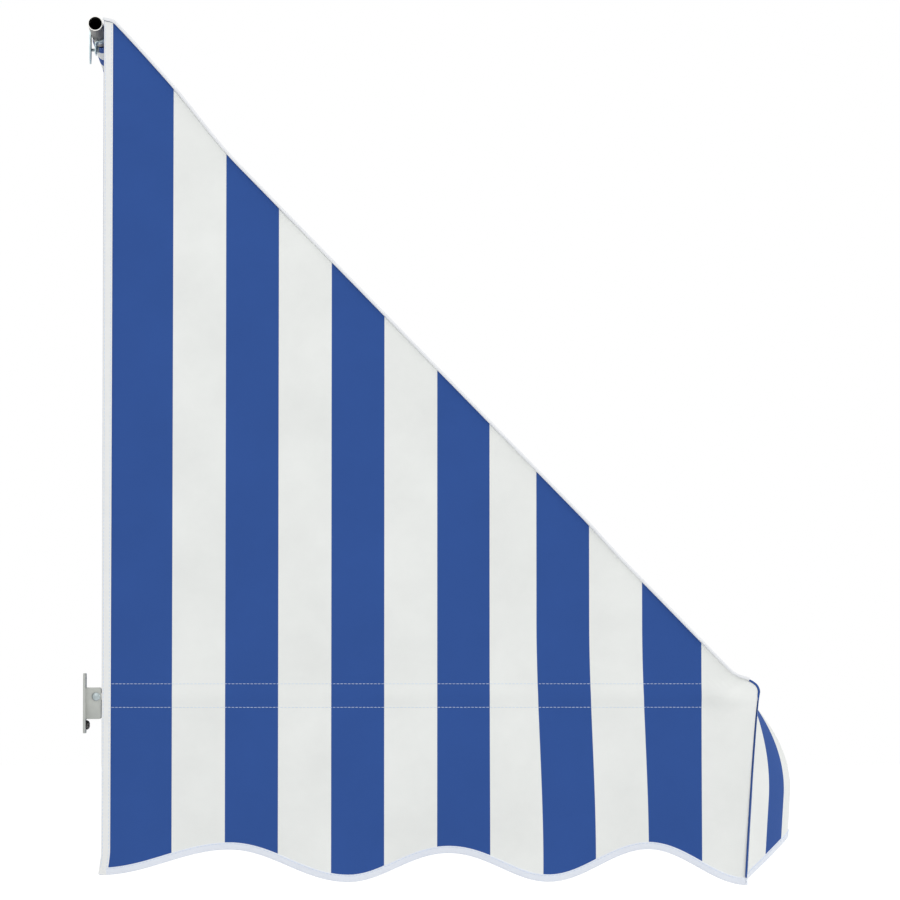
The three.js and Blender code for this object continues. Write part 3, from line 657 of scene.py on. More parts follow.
@dataclass(frozen=True)
class CoverShape:
    """The line of the cover in section, and how it changes across the awning, with its sizes in metres."""

    stripe: float = 71 * MM
    stripes: int = 17
    cloth: float = 1.2 * MM
    fit: float = 0.3 * MM
    valance: float = 252 * MM
    seam: float = 24 * MM
    edge_sag: float = 6.5 * MM
    corner_lift: float = 9 * MM
    lift_start: float = 18 * MM
    lift_end: float = 280 * MM
    middle_sag: float = 6 * MM
    sag_start: float = 120 * MM
    sag_rise: float = 150 * MM
    sag_fall: float = 40 * MM
    crown: float = 110 * MM
    slack: float = 5.5 * MM
    tuck: float = 19 * MM
    flutes: int = 2
    flute_depth: float = 88 * MM
    flute_rise: float = 150 * MM
    front_scallop: float = 56 * MM
    side_scallop: float = 43 * MM
    side_pitch: float = 267 * MM
    first_crest: float = 27 * MM
    middle_crest: float = 5 * MM
    setback: float = 24.5 * MM
    toe: float = 19.5 * MM
    toe_height: float = 50 * MM
    corner_raise: float = 5.4 * MM
    corner_width: float = 60 * MM
    corner_run: float = 35 * MM
    flat_width: float = 140 * MM
    flat_share: float = 0.3
    hem_raise: float = 5 * MM
    hem_run: float = 140 * MM
    toe_share: float = 0.78
    dip: float = 2.4 * MM
    dip_start: float = 330 * MM
    dip_run: float = 90 * MM
    dip_end: float = 8 * MM
    dip_fall: float = 40 * MM
    wave: float = 1.3 * MM
    wave_across: float = 330 * MM
    wave_down: float = 520 * MM
    wave_slant: float = 0.18
    wave_shift: float = 1.3
    binding: float = 10 * MM
    tape: float = 12 * MM

    @property
    def half(self) -> float:
        """Half the cover's width."""
        return self.stripe * self.stripes / 2

    @property
    def rod(self) -> Vector:
        """The head rod's axis, as X and row height."""
        low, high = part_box("head_rod")
        return Vector(((low.x + high.x) / 2, (low.z + high.z) / 2))

    @property
    def bar(self) -> Vector:
        """The front bar's axis, as X and row height."""
        low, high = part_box("front_bar")
        return Vector(((low.x + high.x) / 2, (low.z + high.z) / 2))

    @property
    def tube(self) -> float:
        """The tubes' outer radius."""
        low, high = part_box("head_rod")
        return (high.x - low.x) / 2

    @property
    def hem(self) -> float:
        """Radius of the cloth's middle round the rod."""
        return self.tube + self.fit + self.cloth / 2

    @property
    def roll(self) -> float:
        """Radius of the cloth's middle over the front bar."""
        return self.hem + self.slack


class Cover:
    """Works out places on the cover from its sizes."""

    def __init__(self, shape: CoverShape) -> None:
        """Finds the straight run that is tangent to the wraps round the rod and the bar.

        Args:
            shape: The cover's sizes.
        """
        self.s = shape
        self.rod, self.bar, self.hem, self.roll = shape.rod, shape.bar, shape.hem, shape.roll
        self.half = shape.half
        span = self.bar - self.rod
        self.angle = (math.atan2(span.y, span.x) + math.pi / 2
                      + math.asin((self.roll - self.hem) / span.length))
        self.normal = Vector((math.cos(self.angle), math.sin(self.angle)))
        self.top = self.rod + self.normal * self.hem
        self.end = self.bar + self.normal * self.roll
        self.length = (self.end - self.top).length
        self.along = (self.end - self.top).normalized()
        self.low = self.bar.y - shape.valance

    def sag(self, along: float, y: float) -> float:
        """How far the cloth lies below its straight run.

        Args:
            along: The distance down the slope.
            y: The place across the awning.

        Returns:
            The depth, square to the slope.
        """
        s = self.s
        inside = smooth((self.half - abs(y)) / s.crown)
        depth = mix(s.edge_sag, s.middle_sag, inside)
        lift = s.corner_lift * (1 - inside) * smooth(along / s.lift_start) * smooth(1 - along / s.lift_end)
        left = self.length - along
        dip = s.dip * (1 - inside) * smooth((s.dip_start - left) / s.dip_run)
        dip *= smooth((left - s.dip_end) / s.dip_fall)
        depth *= smooth((along - s.sag_start) / s.sag_rise) * smooth(left / s.sag_fall)
        return depth + dip - lift + inside * self.tension(along, y)

    def tension(self, along: float, y: float) -> float:
        """Faint waves in the stretched cloth, none of them near the rod or the bar.

        Args:
            along: The distance down the slope.
            y: The place across the awning.

        Returns:
            The wave's depth there.
        """
        s = self.s
        ends = smooth((along - 60 * MM) / (150 * MM)) * smooth((self.length - along - 40 * MM) / (120 * MM))
        across = math.sin(2 * math.pi * (y + along * s.wave_slant) / s.wave_across)
        return s.wave * ends * across * math.sin(2 * math.pi * along / s.wave_down + s.wave_shift)

    def corner(self, y: float) -> Vector:
        """How far the loose cloth stands above the bar at a corner."""
        return Vector((0, self.s.corner_raise * (1 - smooth((self.half - abs(y)) / self.s.corner_width))))

    def slope(self, along: float, y: float) -> Vector:
        """A point of the slope, as X and height."""
        flat = self.top + self.along * along - self.normal * self.sag(along, y)
        return flat + self.corner(y) * (1 - smooth((self.length - along) / self.s.corner_run))

    def flute(self, y: float) -> float:
        """How much of a flute stands out at a place across the front, from 0 to 1.

        Args:
            y: The place across the awning.

        Returns:
            The share of the flute's full depth.
        """
        turns = (y + self.half) / (2 * self.half) * self.s.flutes
        start = mix(self.s.flat_share, 1.0, smooth((self.half - abs(y)) / self.s.flat_width))
        return (1 - math.cos(turns * 2 * math.pi)) / 2 * start

    def leave(self, y: float) -> float:
        """Where round the front roll the cloth leaves it: low at a corner, high at a flute's crest."""
        return min(math.atan(2 * self.s.flute_depth * self.flute(y) / self.s.flute_rise), self.angle)

    def front_height(self, y: float) -> float:
        """Height of the hanging front at a place across it."""
        return self.roll * math.sin(self.leave(y)) + self.s.valance - self.s.front_scallop * self.flute(y)

    def front(self, below: float, y: float) -> Vector:
        """A point of the hanging front, as X and height.

        Args:
            below: The distance below the line where the cloth leaves the roll.
            y: The place across the awning.

        Returns:
            The point.
        """
        s, leave = self.s, self.leave(y)
        rest = 1 - min(below / s.flute_rise, 1.0)
        out = s.flute_depth * self.flute(y) * (1 - rest * rest)
        out -= s.tuck * (max(below, 0.0) / s.valance) ** 0.75
        raised = self.corner(y) * (1 - smooth(below / (s.valance / 3)))
        edge = Vector((self.roll * math.cos(leave) + out, self.roll * math.sin(leave) - below))
        return self.bar + raised + edge

    def along_at(self, x: float) -> float:
        """The distance down the slope at which the cover's edge is at a distance from the wall.

        Args:
            x: The distance from the wall.

        Returns:
            The distance down the slope.
        """
        along = (x - self.top.x) / self.along.x
        for _ in range(4):
            along += (x - self.slope(along, self.half).x) / self.along.x
        return along

    def hem_height(self, x: float) -> float:
        """Height of the side's bottom edge: its crest near the wall lies back, and its middle one low.

        Args:
            x: The distance from the wall.

        Returns:
            The height.
        """
        s = self.s
        crest = self.bar.x - s.side_pitch * 2.5 - s.first_crest
        low = self.low + s.hem_raise * smooth((self.bar.x - x) / s.hem_run)
        if x > crest:
            turns = (self.bar.x - x) / s.side_pitch
            if turns > 2:
                turns = 2 + (turns - 2) / (1 + s.first_crest / (s.side_pitch / 2))
            rise = (1 - math.cos(turns * 2 * math.pi)) / 2
            lost = s.middle_crest * rise ** 2 if 1 < turns < 2 else 0.0
            return low + s.side_scallop * rise - lost
        fall = (1 - math.cos((crest - x) / (crest - s.toe) * math.pi)) / 2
        return low + s.side_scallop * (1 - s.toe_share * fall)

    def back(self, height: float) -> float:
        """X of a wing's wall edge."""
        s = self.s
        return s.setback - (s.setback - s.toe) * smooth((self.low + s.toe_height - height) / s.toe_height)


def arc(centre: Vector, radius: float, start: float, stop: float, steps: int) -> list[Vector]:
    """Points round a centre from one angle to another, in radians, both ends included."""
    return [centre + Vector((math.cos(a), math.sin(a))) * radius
            for a in (mix(start, stop, i / steps) for i in range(steps + 1))]


def at(flat: Vector, y: float) -> Vector:
    """A point in section as a point of the awning."""
    return Vector((flat.x, y, flat.y))


# The cover's pieces

@dataclass
class RoofSheet:
    """The one cloth that wraps the rod, slopes down, rolls over the bar and hangs in front."""

    cover: Cover
    columns_per_stripe: int = 6
    wrap_steps: int = 22
    slope_steps: int = 64
    roll_steps: int = 12
    front_steps: int = 40
    notch_clearance: float = 9 * MM
    notch_start: float = 9 * MM
    end_notch: float = 161 * MM
    thickness: float = 0.8 * MM
    lines: dict[float, list[Vector]] = field(default_factory=dict)

    def line(self, y: float) -> list[Vector]:
        """The sheet in section at a place across it, from the head seam to the binding.

        Args:
            y: The place across the awning.

        Returns:
            Its points, as X and height.
        """
        cover = self.cover
        seam = cover.top + cover.along * cover.s.seam - cover.normal * (cover.s.cloth + cover.s.fit)
        reach = seam - cover.rod
        leave = math.atan2(reach.y, reach.x) + 2 * math.pi - math.acos(cover.hem / reach.length)
        points = [seam, seam.lerp(cover.rod + Vector((math.cos(leave), math.sin(leave))) * cover.hem, 0.5)]
        points += arc(cover.rod, cover.hem, leave, cover.angle, self.wrap_steps)
        points.append(cover.slope(cover.along_at(cover.s.setback), y))
        for i in range(1, self.slope_steps + 1):
            share = i / self.slope_steps
            points.append(cover.slope(cover.length * share, y))
        leave = min(cover.leave(y), cover.angle - 0.02)
        points += arc(cover.bar + cover.corner(y), cover.roll, cover.angle, leave, self.roll_steps)[1:]
        length = cover.front_height(y) - cover.s.binding * 0.4
        points += [cover.front(length * i / self.front_steps, y) for i in range(1, self.front_steps + 1)]
        return points

    def build(self) -> bpy.types.Object:
        """Builds the sheet.

        Returns:
            The roof sheet.
        """
        cover = self.cover
        count = cover.s.stripes * self.columns_per_stripe
        across = [mix(-cover.half, cover.half, i / count) for i in range(count + 1)]
        across = self.at_notches(across)
        lines = [self.line(y) for y in across]
        rows = len(lines[0]) - 1
        lengths = [0.0]
        for a, b in zip(lines[0], lines[0][1:]):
            lengths.append(lengths[-1] + (b - a).length)
        bm = bmesh.new()
        grid(bm, len(across) - 1, rows, lambda c, r: at(lines[c][r], across[c]),
             lambda c, r: (across[c] + cover.half, lengths[r]))
        self.cut_notches(bm)
        bmesh.ops.recalc_face_normals(bm, faces=bm.faces[:])
        piece = finish_piece("roof_cloth", bm, STRIPED, Slot.STRIPED, ["roof_sheet"], 60)
        thicken(piece, self.thickness)
        return piece

    def notches(self) -> list[tuple[float, float]]:
        """Stretches of the hem that are cut away for the clips.

        Returns:
            Where each one starts and ends across the awning.
        """
        spans = []
        for side in ("left", "middle", "right"):
            low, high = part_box("head_clip_" + side)
            spans.append((low.y - self.notch_clearance, high.y + self.notch_clearance))
        inner = self.cover.half - self.end_notch
        spans[0] = (-1.0, -inner)
        spans[2] = (inner, 1.0)
        return spans

    def at_notches(self, across: list[float]) -> list[float]:
        """Moves the nearest columns to the notches' edges.

        Args:
            across: The columns' places across the awning.

        Returns:
            The places after the move.
        """
        moved = list(across)
        for span in self.notches():
            for edge in span:
                if abs(edge) < self.cover.half:
                    near = min(range(len(moved)), key=lambda i: abs(moved[i] - edge))
                    moved[near] = edge
        return moved

    def cut_notches(self, bm: bmesh.types.BMesh) -> None:
        """Removes the hem at the notches.

        Args:
            bm: The sheet.
        """
        cover, spans = self.cover, self.notches()
        inner = cover.half - self.end_notch
        gone = []
        for face in bm.faces:
            centre = face.calc_center_median()
            flat = Vector((centre.x, centre.z)) - cover.top
            inside = any(low < centre.y < high for low, high in spans)
            edge = abs(centre.y) > inner and centre.x < cover.s.setback
            if inside and (edge or flat.dot(cover.along) < self.notch_start or
                           (flat.dot(cover.along) < cover.s.seam and flat.dot(cover.normal) < -0.7 * MM)):
                gone.append(face)
        bmesh.ops.delete(bm, geom=gone, context="FACES")


def thicken(piece: bpy.types.Object, thickness: float) -> None:
    """Gives a single cloth surface its thickness, half to each side.

    Args:
        piece: The cloth.
        thickness: How thick it becomes.
    """
    solid = piece.modifiers.new("thickness", "SOLIDIFY")
    solid.thickness = thickness
    solid.offset = 0.0
    solid.use_even_offset = True


@dataclass
class Wing:
    """A side of the cover: flat under the slope, softly rippled at its scalloped bottom."""

    cover: Cover
    side: int
    columns: int = 120
    rows: int = 230
    roll_columns: int = 6
    thickness: float = 0.8 * MM
    ripple: float = 5 * MM
    sleeve: float = 15.7 * MM
    sleeve_rise: float = 1.2 * MM
    sleeve_swell: float = 1.9 * MM
    first_stripe: float = 47.2 * MM
    wing_stripe: float = 70.8 * MM
    last_stripe: float = 11.8
    drawn: float = 8.8 * MM
    bulge: float = 7 * MM
    bulge_x: float = 850 * MM
    bulge_width: float = 26 * MM
    bulge_height: float = 13 * MM
    front_inset: float = 1.6 * MM

    def top(self, share: float) -> Vector:
        """A point of the upper edge, under the slope and then under the roll.

        Args:
            share: The share of the way from the wall to the front.

        Returns:
            The point, as X and height.
        """
        cover, s = self.cover, self.cover.s
        gap = s.cloth / 2 + s.fit
        start = cover.along_at(s.setback)
        split = 1 - self.roll_columns / self.columns
        if share <= split:
            return cover.slope(mix(start, cover.length, share / split), cover.half) - cover.normal * gap
        turned = (share - split) / (1 - split)
        angle = cover.angle * (1 - turned)
        reach = cover.roll - gap - self.front_inset * turned
        return cover.bar + cover.corner(cover.half) + Vector((math.cos(angle), math.sin(angle))) * reach

    def bottom(self, share: float) -> Vector:
        """A point of the lower edge, inside the binding.

        Args:
            share: The share of the way from the wall to the front.

        Returns:
            The point, as X and height.
        """
        cover, s = self.cover, self.cover.s
        back = cover.back(cover.low)
        front = cover.front(s.valance, cover.half).x - s.cloth / 2 - s.fit - self.front_inset
        x = mix(back, front, share)
        return Vector((x, cover.hem_height(x) + s.binding * 0.4))

    def point(self, across: float, up: float) -> Vector:
        """A point of the wing from its shares across and up.

        Args:
            across: The share from the wall to the front.
            up: The share from the lower edge to the upper one.

        Returns:
            The point.
        """
        cover = self.cover
        low, high = self.bottom(across), self.top(across)
        flat = low.lerp(high, up)
        straight = mix(cover.back(cover.low), cover.s.setback, up)
        flat.x += (cover.back(flat.y) - straight) * (1 - across) ** 6
        bow = cover.front(max(cover.bar.y - flat.y, 0.0), cover.half).x - mix(
            cover.front(cover.s.valance, cover.half).x, cover.front(0.0, cover.half).x, up)
        flat.x += bow * across ** 12
        fall = smooth((cover.bar.y - 20 * MM - flat.y) / (cover.s.valance - 20 * MM))
        edge = smooth(across / 0.06) * smooth((1 - across) / 0.08)
        wave = math.sin(2 * math.pi * (cover.bar.x - flat.x) / cover.s.side_pitch + 0.6)
        y = cover.half - cover.s.cloth / 2 + self.ripple * wave * fall ** 1.6 * edge
        y += self.swell(flat.x, flat.y) * edge
        return Vector((flat.x, self.side * y, flat.y))

    def swell(self, x: float, height: float) -> float:
        """How far the cloth stands out over the arm in its sleeve, and over the arm's bend.

        Args:
            x: The distance from the wall.
            height: The height.

        Returns:
            The distance.
        """
        share = min(abs(height - self.sleeve_rise - self.cover.bar.y) / self.sleeve, 1.0)
        ahead = (x - self.bulge_x) / self.bulge_width
        above = (height - self.cover.bar.y) / self.bulge_height
        bend = self.bulge * math.exp(-ahead ** 2 - above ** 2)
        return self.sleeve_swell * (1 - share * share) ** 1.5 + bend

    def surface(self, x: float, height: float, proud: float) -> Vector:
        """A place on the wing by its X and height, so far outside the cloth's middle."""
        y = self.cover.half - self.cover.s.cloth / 2 + self.swell(x, height) + proud
        return Vector((x, self.side * y, height))

    def stripes(self, x: float, height: float) -> float:
        """Finds the woven cloth's place that shows on the wing, whose upper part is drawn back.

        Args:
            x: The distance from the wall.
            height: The height.

        Returns:
            The place across the woven cloth, in metres.
        """
        drawn = self.drawn * smooth((x - 530 * MM) / (75 * MM)) * smooth((825 * MM - x) / (75 * MM))
        drawn *= smooth((height - self.cover.low - 32 * MM) / (320 * MM))
        place = (x + drawn - self.first_stripe) / self.wing_stripe
        return min(max(place, 0.2), self.last_stripe) * self.cover.s.stripe

    def build(self, name: str) -> bpy.types.Object:
        """Builds the wing.

        Args:
            name: left or right.

        Returns:
            The wing's cloth.
        """
        bm = bmesh.new()
        spots = [[self.point(c / self.columns, r / self.rows) for r in range(self.rows + 1)]
                 for c in range(self.columns + 1)]
        grid(bm, self.columns, self.rows, lambda c, r: spots[c][r],
             lambda c, r: (self.stripes(spots[c][r].x, spots[c][r].z), spots[c][r].z))
        bmesh.ops.recalc_face_normals(bm, faces=bm.faces[:])
        area = sum(f.calc_area() for f in bm.faces)
        piece = finish_piece(f"wing_cloth_{name}", bm, STRIPED, Slot.STRIPED, [f"wing_{name}"], 60)
        thicken(piece, self.thickness)
        return piece


def strip_section(width: float, thick: float, turn: int = 4) -> list[tuple[float, float]]:
    """Outline of a flat strip with rounded edges, its width up and its thickness to the side.

    Args:
        width: How wide the strip is.
        thick: How thick it is.
        turn: Steps in a quarter turn.

    Returns:
        The outline's points.
    """
    radius = thick / 2
    points = []
    for centre, start in ((width / 2 - radius, 0.0), (-width / 2 + radius, math.pi)):
        for i in range(turn * 2 + 1):
            angle = start + math.pi * i / (turn * 2)
            points.append((radius * math.cos(angle), centre + radius * math.sin(angle)))
    return points


@dataclass
class Trim:
    """Bindings, tapes and pipings that close the cover's edges."""

    cover: Cover
    binding_thick: float = 2.4 * MM
    tape_thick: float = 0.8 * MM
    piping: float = 2 * MM
    steps: int = 150
    corner_reach: float = 2.6 * MM
    welt: float = 2.8 * MM
    welt_start: float = 12 * MM
    welt_thick: float = 0.6 * MM
    welt_proud: float = 0.5 * MM

    def side_binding(self, name: str, wing: Wing) -> bpy.types.Object:
        """The folded tape round a side's bottom edge.

        Args:
            name: left or right.
            wing: The wing whose edge it closes.

        Returns:
            The binding.
        """
        path = []
        for i in range(self.steps + 1):
            share = mix(0.001, 0.998, i / self.steps)
            spot = wing.point(share, 0.0)
            path.append(spot + Vector((0, 0, self.cover.s.binding * 0.1)))
        path.append(path[-1] + Vector((self.corner_reach, 0, 0)))
        bm = bmesh.new()
        sweep(bm, path, strip_section(self.cover.s.binding, self.binding_thick), Vector((0, 0, -1)))
        return finish_piece(f"side_hem_{name}", bm, HEM_TAPE, Slot.TAPE, [f"side_binding_{name}"])

    def front_binding(self) -> bpy.types.Object:
        """The folded tape round the front's bottom edge.

        Returns:
            The binding.
        """
        cover = self.cover
        path = []
        for i in range(self.steps + 1):
            y = mix(-cover.half, cover.half, i / self.steps)
            path.append(at(cover.front(cover.front_height(y) - cover.s.binding / 2, y), y))
        bm = bmesh.new()
        sweep(bm, path, strip_section(cover.s.binding, self.binding_thick), Vector((0, 0, 1)))
        return finish_piece("front_hem", bm, HEM_TAPE, Slot.TAPE, ["front_binding"])

    def back_tape(self, name: str, side: int) -> bpy.types.Object:
        """The flat tape sewn down a wing's wall edge.

        Args:
            name: left or right.
            side: Which way the wing faces.

        Returns:
            The tape.
        """
        cover, s = self.cover, self.cover.s
        top = cover.slope(cover.along_at(s.setback), cover.half).y - self.piping
        foot = cover.hem_height(s.toe) + MM
        heights = [mix(foot, top, (i / 90) ** 1.5) for i in range(91)]
        y = side * (cover.half + s.fit + self.tape_thick / 2)
        path = [Vector((cover.back(h) + s.tape / 2, y, h)) for h in heights]
        bm = bmesh.new()
        sweep(bm, path, strip_section(s.tape, self.tape_thick, 3), Vector((side, 0, 0)))
        for vertex in bm.verts:
            if vertex.co.z > heights[-2]:
                seam = cover.slope(cover.along_at(vertex.co.x), cover.half).y
                vertex.co.z = seam - self.piping * 1.2
        return finish_piece(f"edge_tape_{name}", bm, EDGE_TAPE, Slot.TAPE, [f"back_tape_{name}"])

    def slope_piping(self, name: str, side: int) -> bpy.types.Object:
        """The bound seam between the roof and a wing.

        Args:
            name: left or right.
            side: Which way the wing faces.

        Returns:
            The piping.
        """
        cover = self.cover
        y = side * (cover.half + cover.s.fit + self.piping)
        first = cover.along_at(cover.s.setback) - 2 * MM
        last = cover.length - self.welt_start
        flat = [cover.slope(mix(first, last, i / 240), cover.half) for i in range(241)]
        bm = bmesh.new()
        section = [(self.piping * math.cos(a), self.piping * 0.9 * math.sin(a))
                   for a in (2 * math.pi * i / 14 for i in range(14))]
        sweep(bm, [at(p, y) for p in flat], section, Vector((0, 1, 0)))
        return finish_piece(f"seam_piping_{name}", bm, PIPING, Slot.TAPE, [f"slope_piping_{name}"])

    def front_welt(self, name: str, side: int) -> bpy.types.Object:
        """The roof cloth's turned edge that shows down a front corner.

        Args:
            name: left or right.
            side: Which way the wing faces.

        Returns:
            The edge.
        """
        cover = self.cover
        y = cover.half
        flat = [cover.slope(cover.length - self.welt_start * (1 - i / 12), y) for i in range(12)]
        flat += arc(cover.bar + cover.corner(y), cover.roll, cover.angle, 0.0, 24)
        widths = [self.welt] * len(flat)
        length = cover.front_height(y) - cover.s.binding
        for i in range(1, 91):
            flat.append(cover.front(length * i / 90, y))
            widths.append(self.welt * (0.25 + 0.75 * (1 - smooth(i / 6)) + 0.35 * smooth((i - 6) / 84)))
        rings = []
        for i, spot in enumerate(flat):
            along = (flat[min(i + 1, len(flat) - 1)] - flat[max(i - 1, 0)]).normalized()
            inward = Vector((along.y, -along.x)) * widths[i]
            rings.append([at(p, side * (y + self.welt_proud)) for p in (spot, spot + inward)])
        bm = bmesh.new()
        grid(bm, 1, len(rings) - 1,
             lambda c, r: rings[r][c], lambda c, r: (cover.s.stripe / 2, rings[r][c].z))
        bmesh.ops.recalc_face_normals(bm, faces=bm.faces[:])
        piece = finish_piece(f"corner_edge_{name}", bm, STRIPED, Slot.STRIPED, angle=60)
        thicken(piece, self.welt_thick)
        return piece

    def build(self, wings: dict[str, Wing]) -> None:
        """Builds every strip of trim.

        Args:
            wings: The two wings, by side.
        """
        for name, side in SIDES.items():
            self.front_welt(name, side)
            self.side_binding(name, wings[name])
            self.back_tape(name, side)
            self.slope_piping(name, side)
        self.front_binding()


@dataclass
class Pockets:
    """The cloth sleeves that hold the arms and the front bar."""

    cover: Cover
    half_height: float = 16 * MM
    flange: float = 4 * MM
    bar_seam: float = 28 * MM
    bar_drop: float = 30 * MM
    slack: float = 0.6 * MM
    thickness: float = 0.8 * MM
    steps: int = 90

    def arm_pocket(self, name: str, side: int) -> bpy.types.Object:
        """The loop of cloth sewn to a wing round its arm.

        Args:
            name: left or right.
            side: Which way the wing faces.

        Returns:
            The sleeve.
        """
        cover, s = self.cover, self.cover.s
        low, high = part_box(f"arm_pocket_{name}")
        arm_low, arm_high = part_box(f"arm_{name}")
        height = (arm_low.z + arm_high.z) / 2
        face = cover.half - s.cloth - s.fit - self.thickness / 2
        arm = face + self.thickness / 2 - s.tube
        reach = (self.half_height + self.flange, self.half_height)
        line = [Vector((face, height + up)) for up in reach]
        line += arc(Vector((arm, height)), cover.hem, math.radians(78), math.radians(282), 20)
        line += [Vector((face, height - down)) for down in reversed(reach)]

        def place(column: int, row: int) -> Vector:
            """A point of the sleeve, whose loose side is a little creased.

            Args:
                column: The point's number in the sleeve's section.
                row: The number of the step along the arm.

            Returns:
                The point.
            """
            x = mix(low.x, high.x, row / self.steps)
            spot = line[column]
            loose = smooth((arm - spot.x) / cover.hem) * self.slack
            pull = loose * noise.noise(Vector((x * 18, spot.y * 40, side)))
            return Vector((x, side * (spot.x - abs(pull)), spot.y))

        bm = bmesh.new()
        grid(bm, len(line) - 1, self.steps, place, lambda c, r: (line[c].y, high.x * r / self.steps))
        bmesh.ops.recalc_face_normals(bm, faces=bm.faces[:])
        area = sum(f.calc_area() for f in bm.faces)
        piece = finish_piece(f"arm_sleeve_{name}", bm, WHITE, Slot.WHITE, [f"arm_pocket_{name}"], 60)
        thicken(piece, self.thickness)
        return piece

    def bar_pocket(self) -> bpy.types.Object:
        """The strip of cloth that holds the front bar up under the roof.

        Returns:
            The sleeve.
        """
        cover, s = self.cover, self.cover.s
        low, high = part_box("front_bar_pocket")
        seam = cover.slope(cover.length - self.bar_seam, 0.0) - cover.normal * (s.cloth + s.fit * 2)
        reach = seam - cover.bar
        meet = math.atan2(reach.y, reach.x) + math.acos(cover.hem / reach.length)
        corner = cover.front(self.bar_drop, cover.half)
        foot = Vector((corner.x - s.cloth * 2 - s.fit, corner.y))
        drop = foot - cover.bar
        leave = math.atan2(drop.y, drop.x) - math.acos(cover.hem / drop.length) + 2 * math.pi
        line = [seam] + arc(cover.bar, cover.hem, meet, leave, 10) + [foot]

        across = [mix(low.y, high.y, i / self.steps) for i in range(self.steps + 1)]
        bm = bmesh.new()
        grid(bm, len(line) - 1, self.steps, lambda c, r: at(line[c], across[r]),
             lambda c, r: (line[c].y, across[r]))
        bmesh.ops.recalc_face_normals(bm, faces=bm.faces[:])
        area = sum(f.calc_area() for f in bm.faces)
        piece = finish_piece("bar_sleeve", bm, WHITE, Slot.WHITE, ["front_bar_pocket"], 60)
        thicken(piece, self.thickness)
        return piece

    def build(self) -> None:
        """Builds the three sleeves."""
        for name, side in SIDES.items():
            self.arm_pocket(name, side)
        self.bar_pocket()


@dataclass
class Stitching:
    """Rows of lockstitch, each stitch a small bead of thread that sinks at its ends.

    The thread is about 0.5 mm thick, and it is drawn at 1 mm so that it shows.
    """

    cover: Cover
    pitch: float = 5 * MM
    length: float = 4.7 * MM
    radius: float = 0.52 * MM
    sleeve_start: float = 36.8 * MM
    sleeve_end: float = 826 * MM
    bar_rows: float = 30 * MM

    def row(self, bm: bmesh.types.BMesh, path: Sequence[Vector]) -> None:
        """Sews along a path.

        Args:
            bm: The rows' mesh.
            path: The points that the row passes.
        """
        rest = self.pitch / 2
        for a, b in zip(path, path[1:]):
            step = (b - a).length
            if step == 0:
                continue
            along = (b - a) / step
            while rest < step:
                turn = along.to_track_quat("Z", "Y").to_matrix().to_4x4()
                size = Matrix.Diagonal((self.radius, self.radius * 0.8, self.length / 2, 1.0))
                bmesh.ops.create_icosphere(bm, subdivisions=1, radius=1.0,
                                           matrix=Matrix.Translation(a + along * rest) @ turn @ size)
                rest += self.pitch
            rest -= step

    def sleeve_rows(self, name: str, wing: Wing) -> bpy.types.Object:
        """The two rows that close an arm's sleeve.

        Args:
            name: left or right.
            wing: The wing that the rows are sewn to.

        Returns:
            The rows as one piece.
        """
        bm = bmesh.new()
        places = [mix(self.sleeve_start, self.sleeve_end, i / 200) for i in range(201)]
        for up in (1, -1):
            height = self.cover.bar.y + wing.sleeve_rise + up * wing.sleeve
            self.row(bm, [wing.surface(x, height, 0.5 * MM) for x in places])
        return finish_piece(f"sleeve_stitches_{name}", bm, THREAD, Slot.TAPE)

    def trim_rows(self, name: str, side: int, wing: Wing) -> bpy.types.Object:
        """The rows down a wing's wall tape and along its hem.

        Args:
            name: left or right.
            side: Which way the wing faces.
            wing: The wing that the rows are sewn to.

        Returns:
            The rows as one piece.
        """
        cover, s = self.cover, self.cover.s
        bm = bmesh.new()
        tape_y = side * (cover.half + s.fit + 0.8 * MM)
        for inset in (2 * MM, s.tape - 2 * MM):
            top = cover.slope(cover.along_at(s.setback + inset), cover.half).y - 5 * MM
            heights = [mix(cover.low + 24 * MM, top, (i / 60) ** 1.5) for i in range(61)]
            self.row(bm, [Vector((cover.back(h) + inset, tape_y, h)) for h in heights])
        hem = []
        for i in range(121):
            spot = wing.point(mix(0.004, 0.985, i / 120), 0.0)
            hem.append(spot + Vector((0, side * 1.2 * MM, s.binding * 0.42)))
        self.row(bm, hem)
        return finish_piece(f"trim_stitches_{name}", bm, THREAD, Slot.TAPE)

    def roof_rows(self) -> bpy.types.Object:
        """The rows across the roof: the head hem, the bar's sleeve above and below, and the front hem.

        Returns:
            The rows as one piece.
        """
        cover, s = self.cover, self.cover.s
        bm = bmesh.new()
        count = 90
        lift = cover.normal * (s.cloth / 2)
        across = [mix(-cover.half + 8 * MM, cover.half - 8 * MM, i / count) for i in range(count + 1)]
        for along in (s.seam - 2 * MM, cover.length - self.bar_rows):
            self.row(bm, [at(cover.slope(along, y) + lift, y) for y in across])
        self.row(bm, [at(cover.front(self.bar_rows, y) + Vector((s.cloth / 2, 0)), y) for y in across])
        hem = [cover.front(cover.front_height(y) - s.binding + 1.6 * MM, y) for y in across]
        self.row(bm, [at(flat + Vector((1.3 * MM, 0)), y) for flat, y in zip(hem, across)])
        return finish_piece("roof_stitches", bm, THREAD, Slot.TAPE)


# The frame's pieces

def bare_ends_and_highlight(piece: bpy.types.Object, share: float = 0.6) -> None:
    """Gives a tube's sawn ends their own near-white metal: bare steel, and also a painted highlight on the
    lip.

    Args:
        piece: The tube.
        share: How squarely a face looks along the tube's end to count as sawn.
    """
    piece.data.materials.append(SAWN_END_AND_HIGHLIGHT.make())
    spots = [v.co for v in piece.data.vertices]
    wall = min(spot.x for spot in spots)
    ends = (min(spot.y for spot in spots), max(spot.y for spot in spots))
    for face in piece.data.polygons:
        across = any(abs(face.center.y - end) < MM for end in ends) and abs(face.normal.y) > share
        if across or (abs(face.center.x - wall) < MM and -face.normal.x > share):
            face.material_index = 1


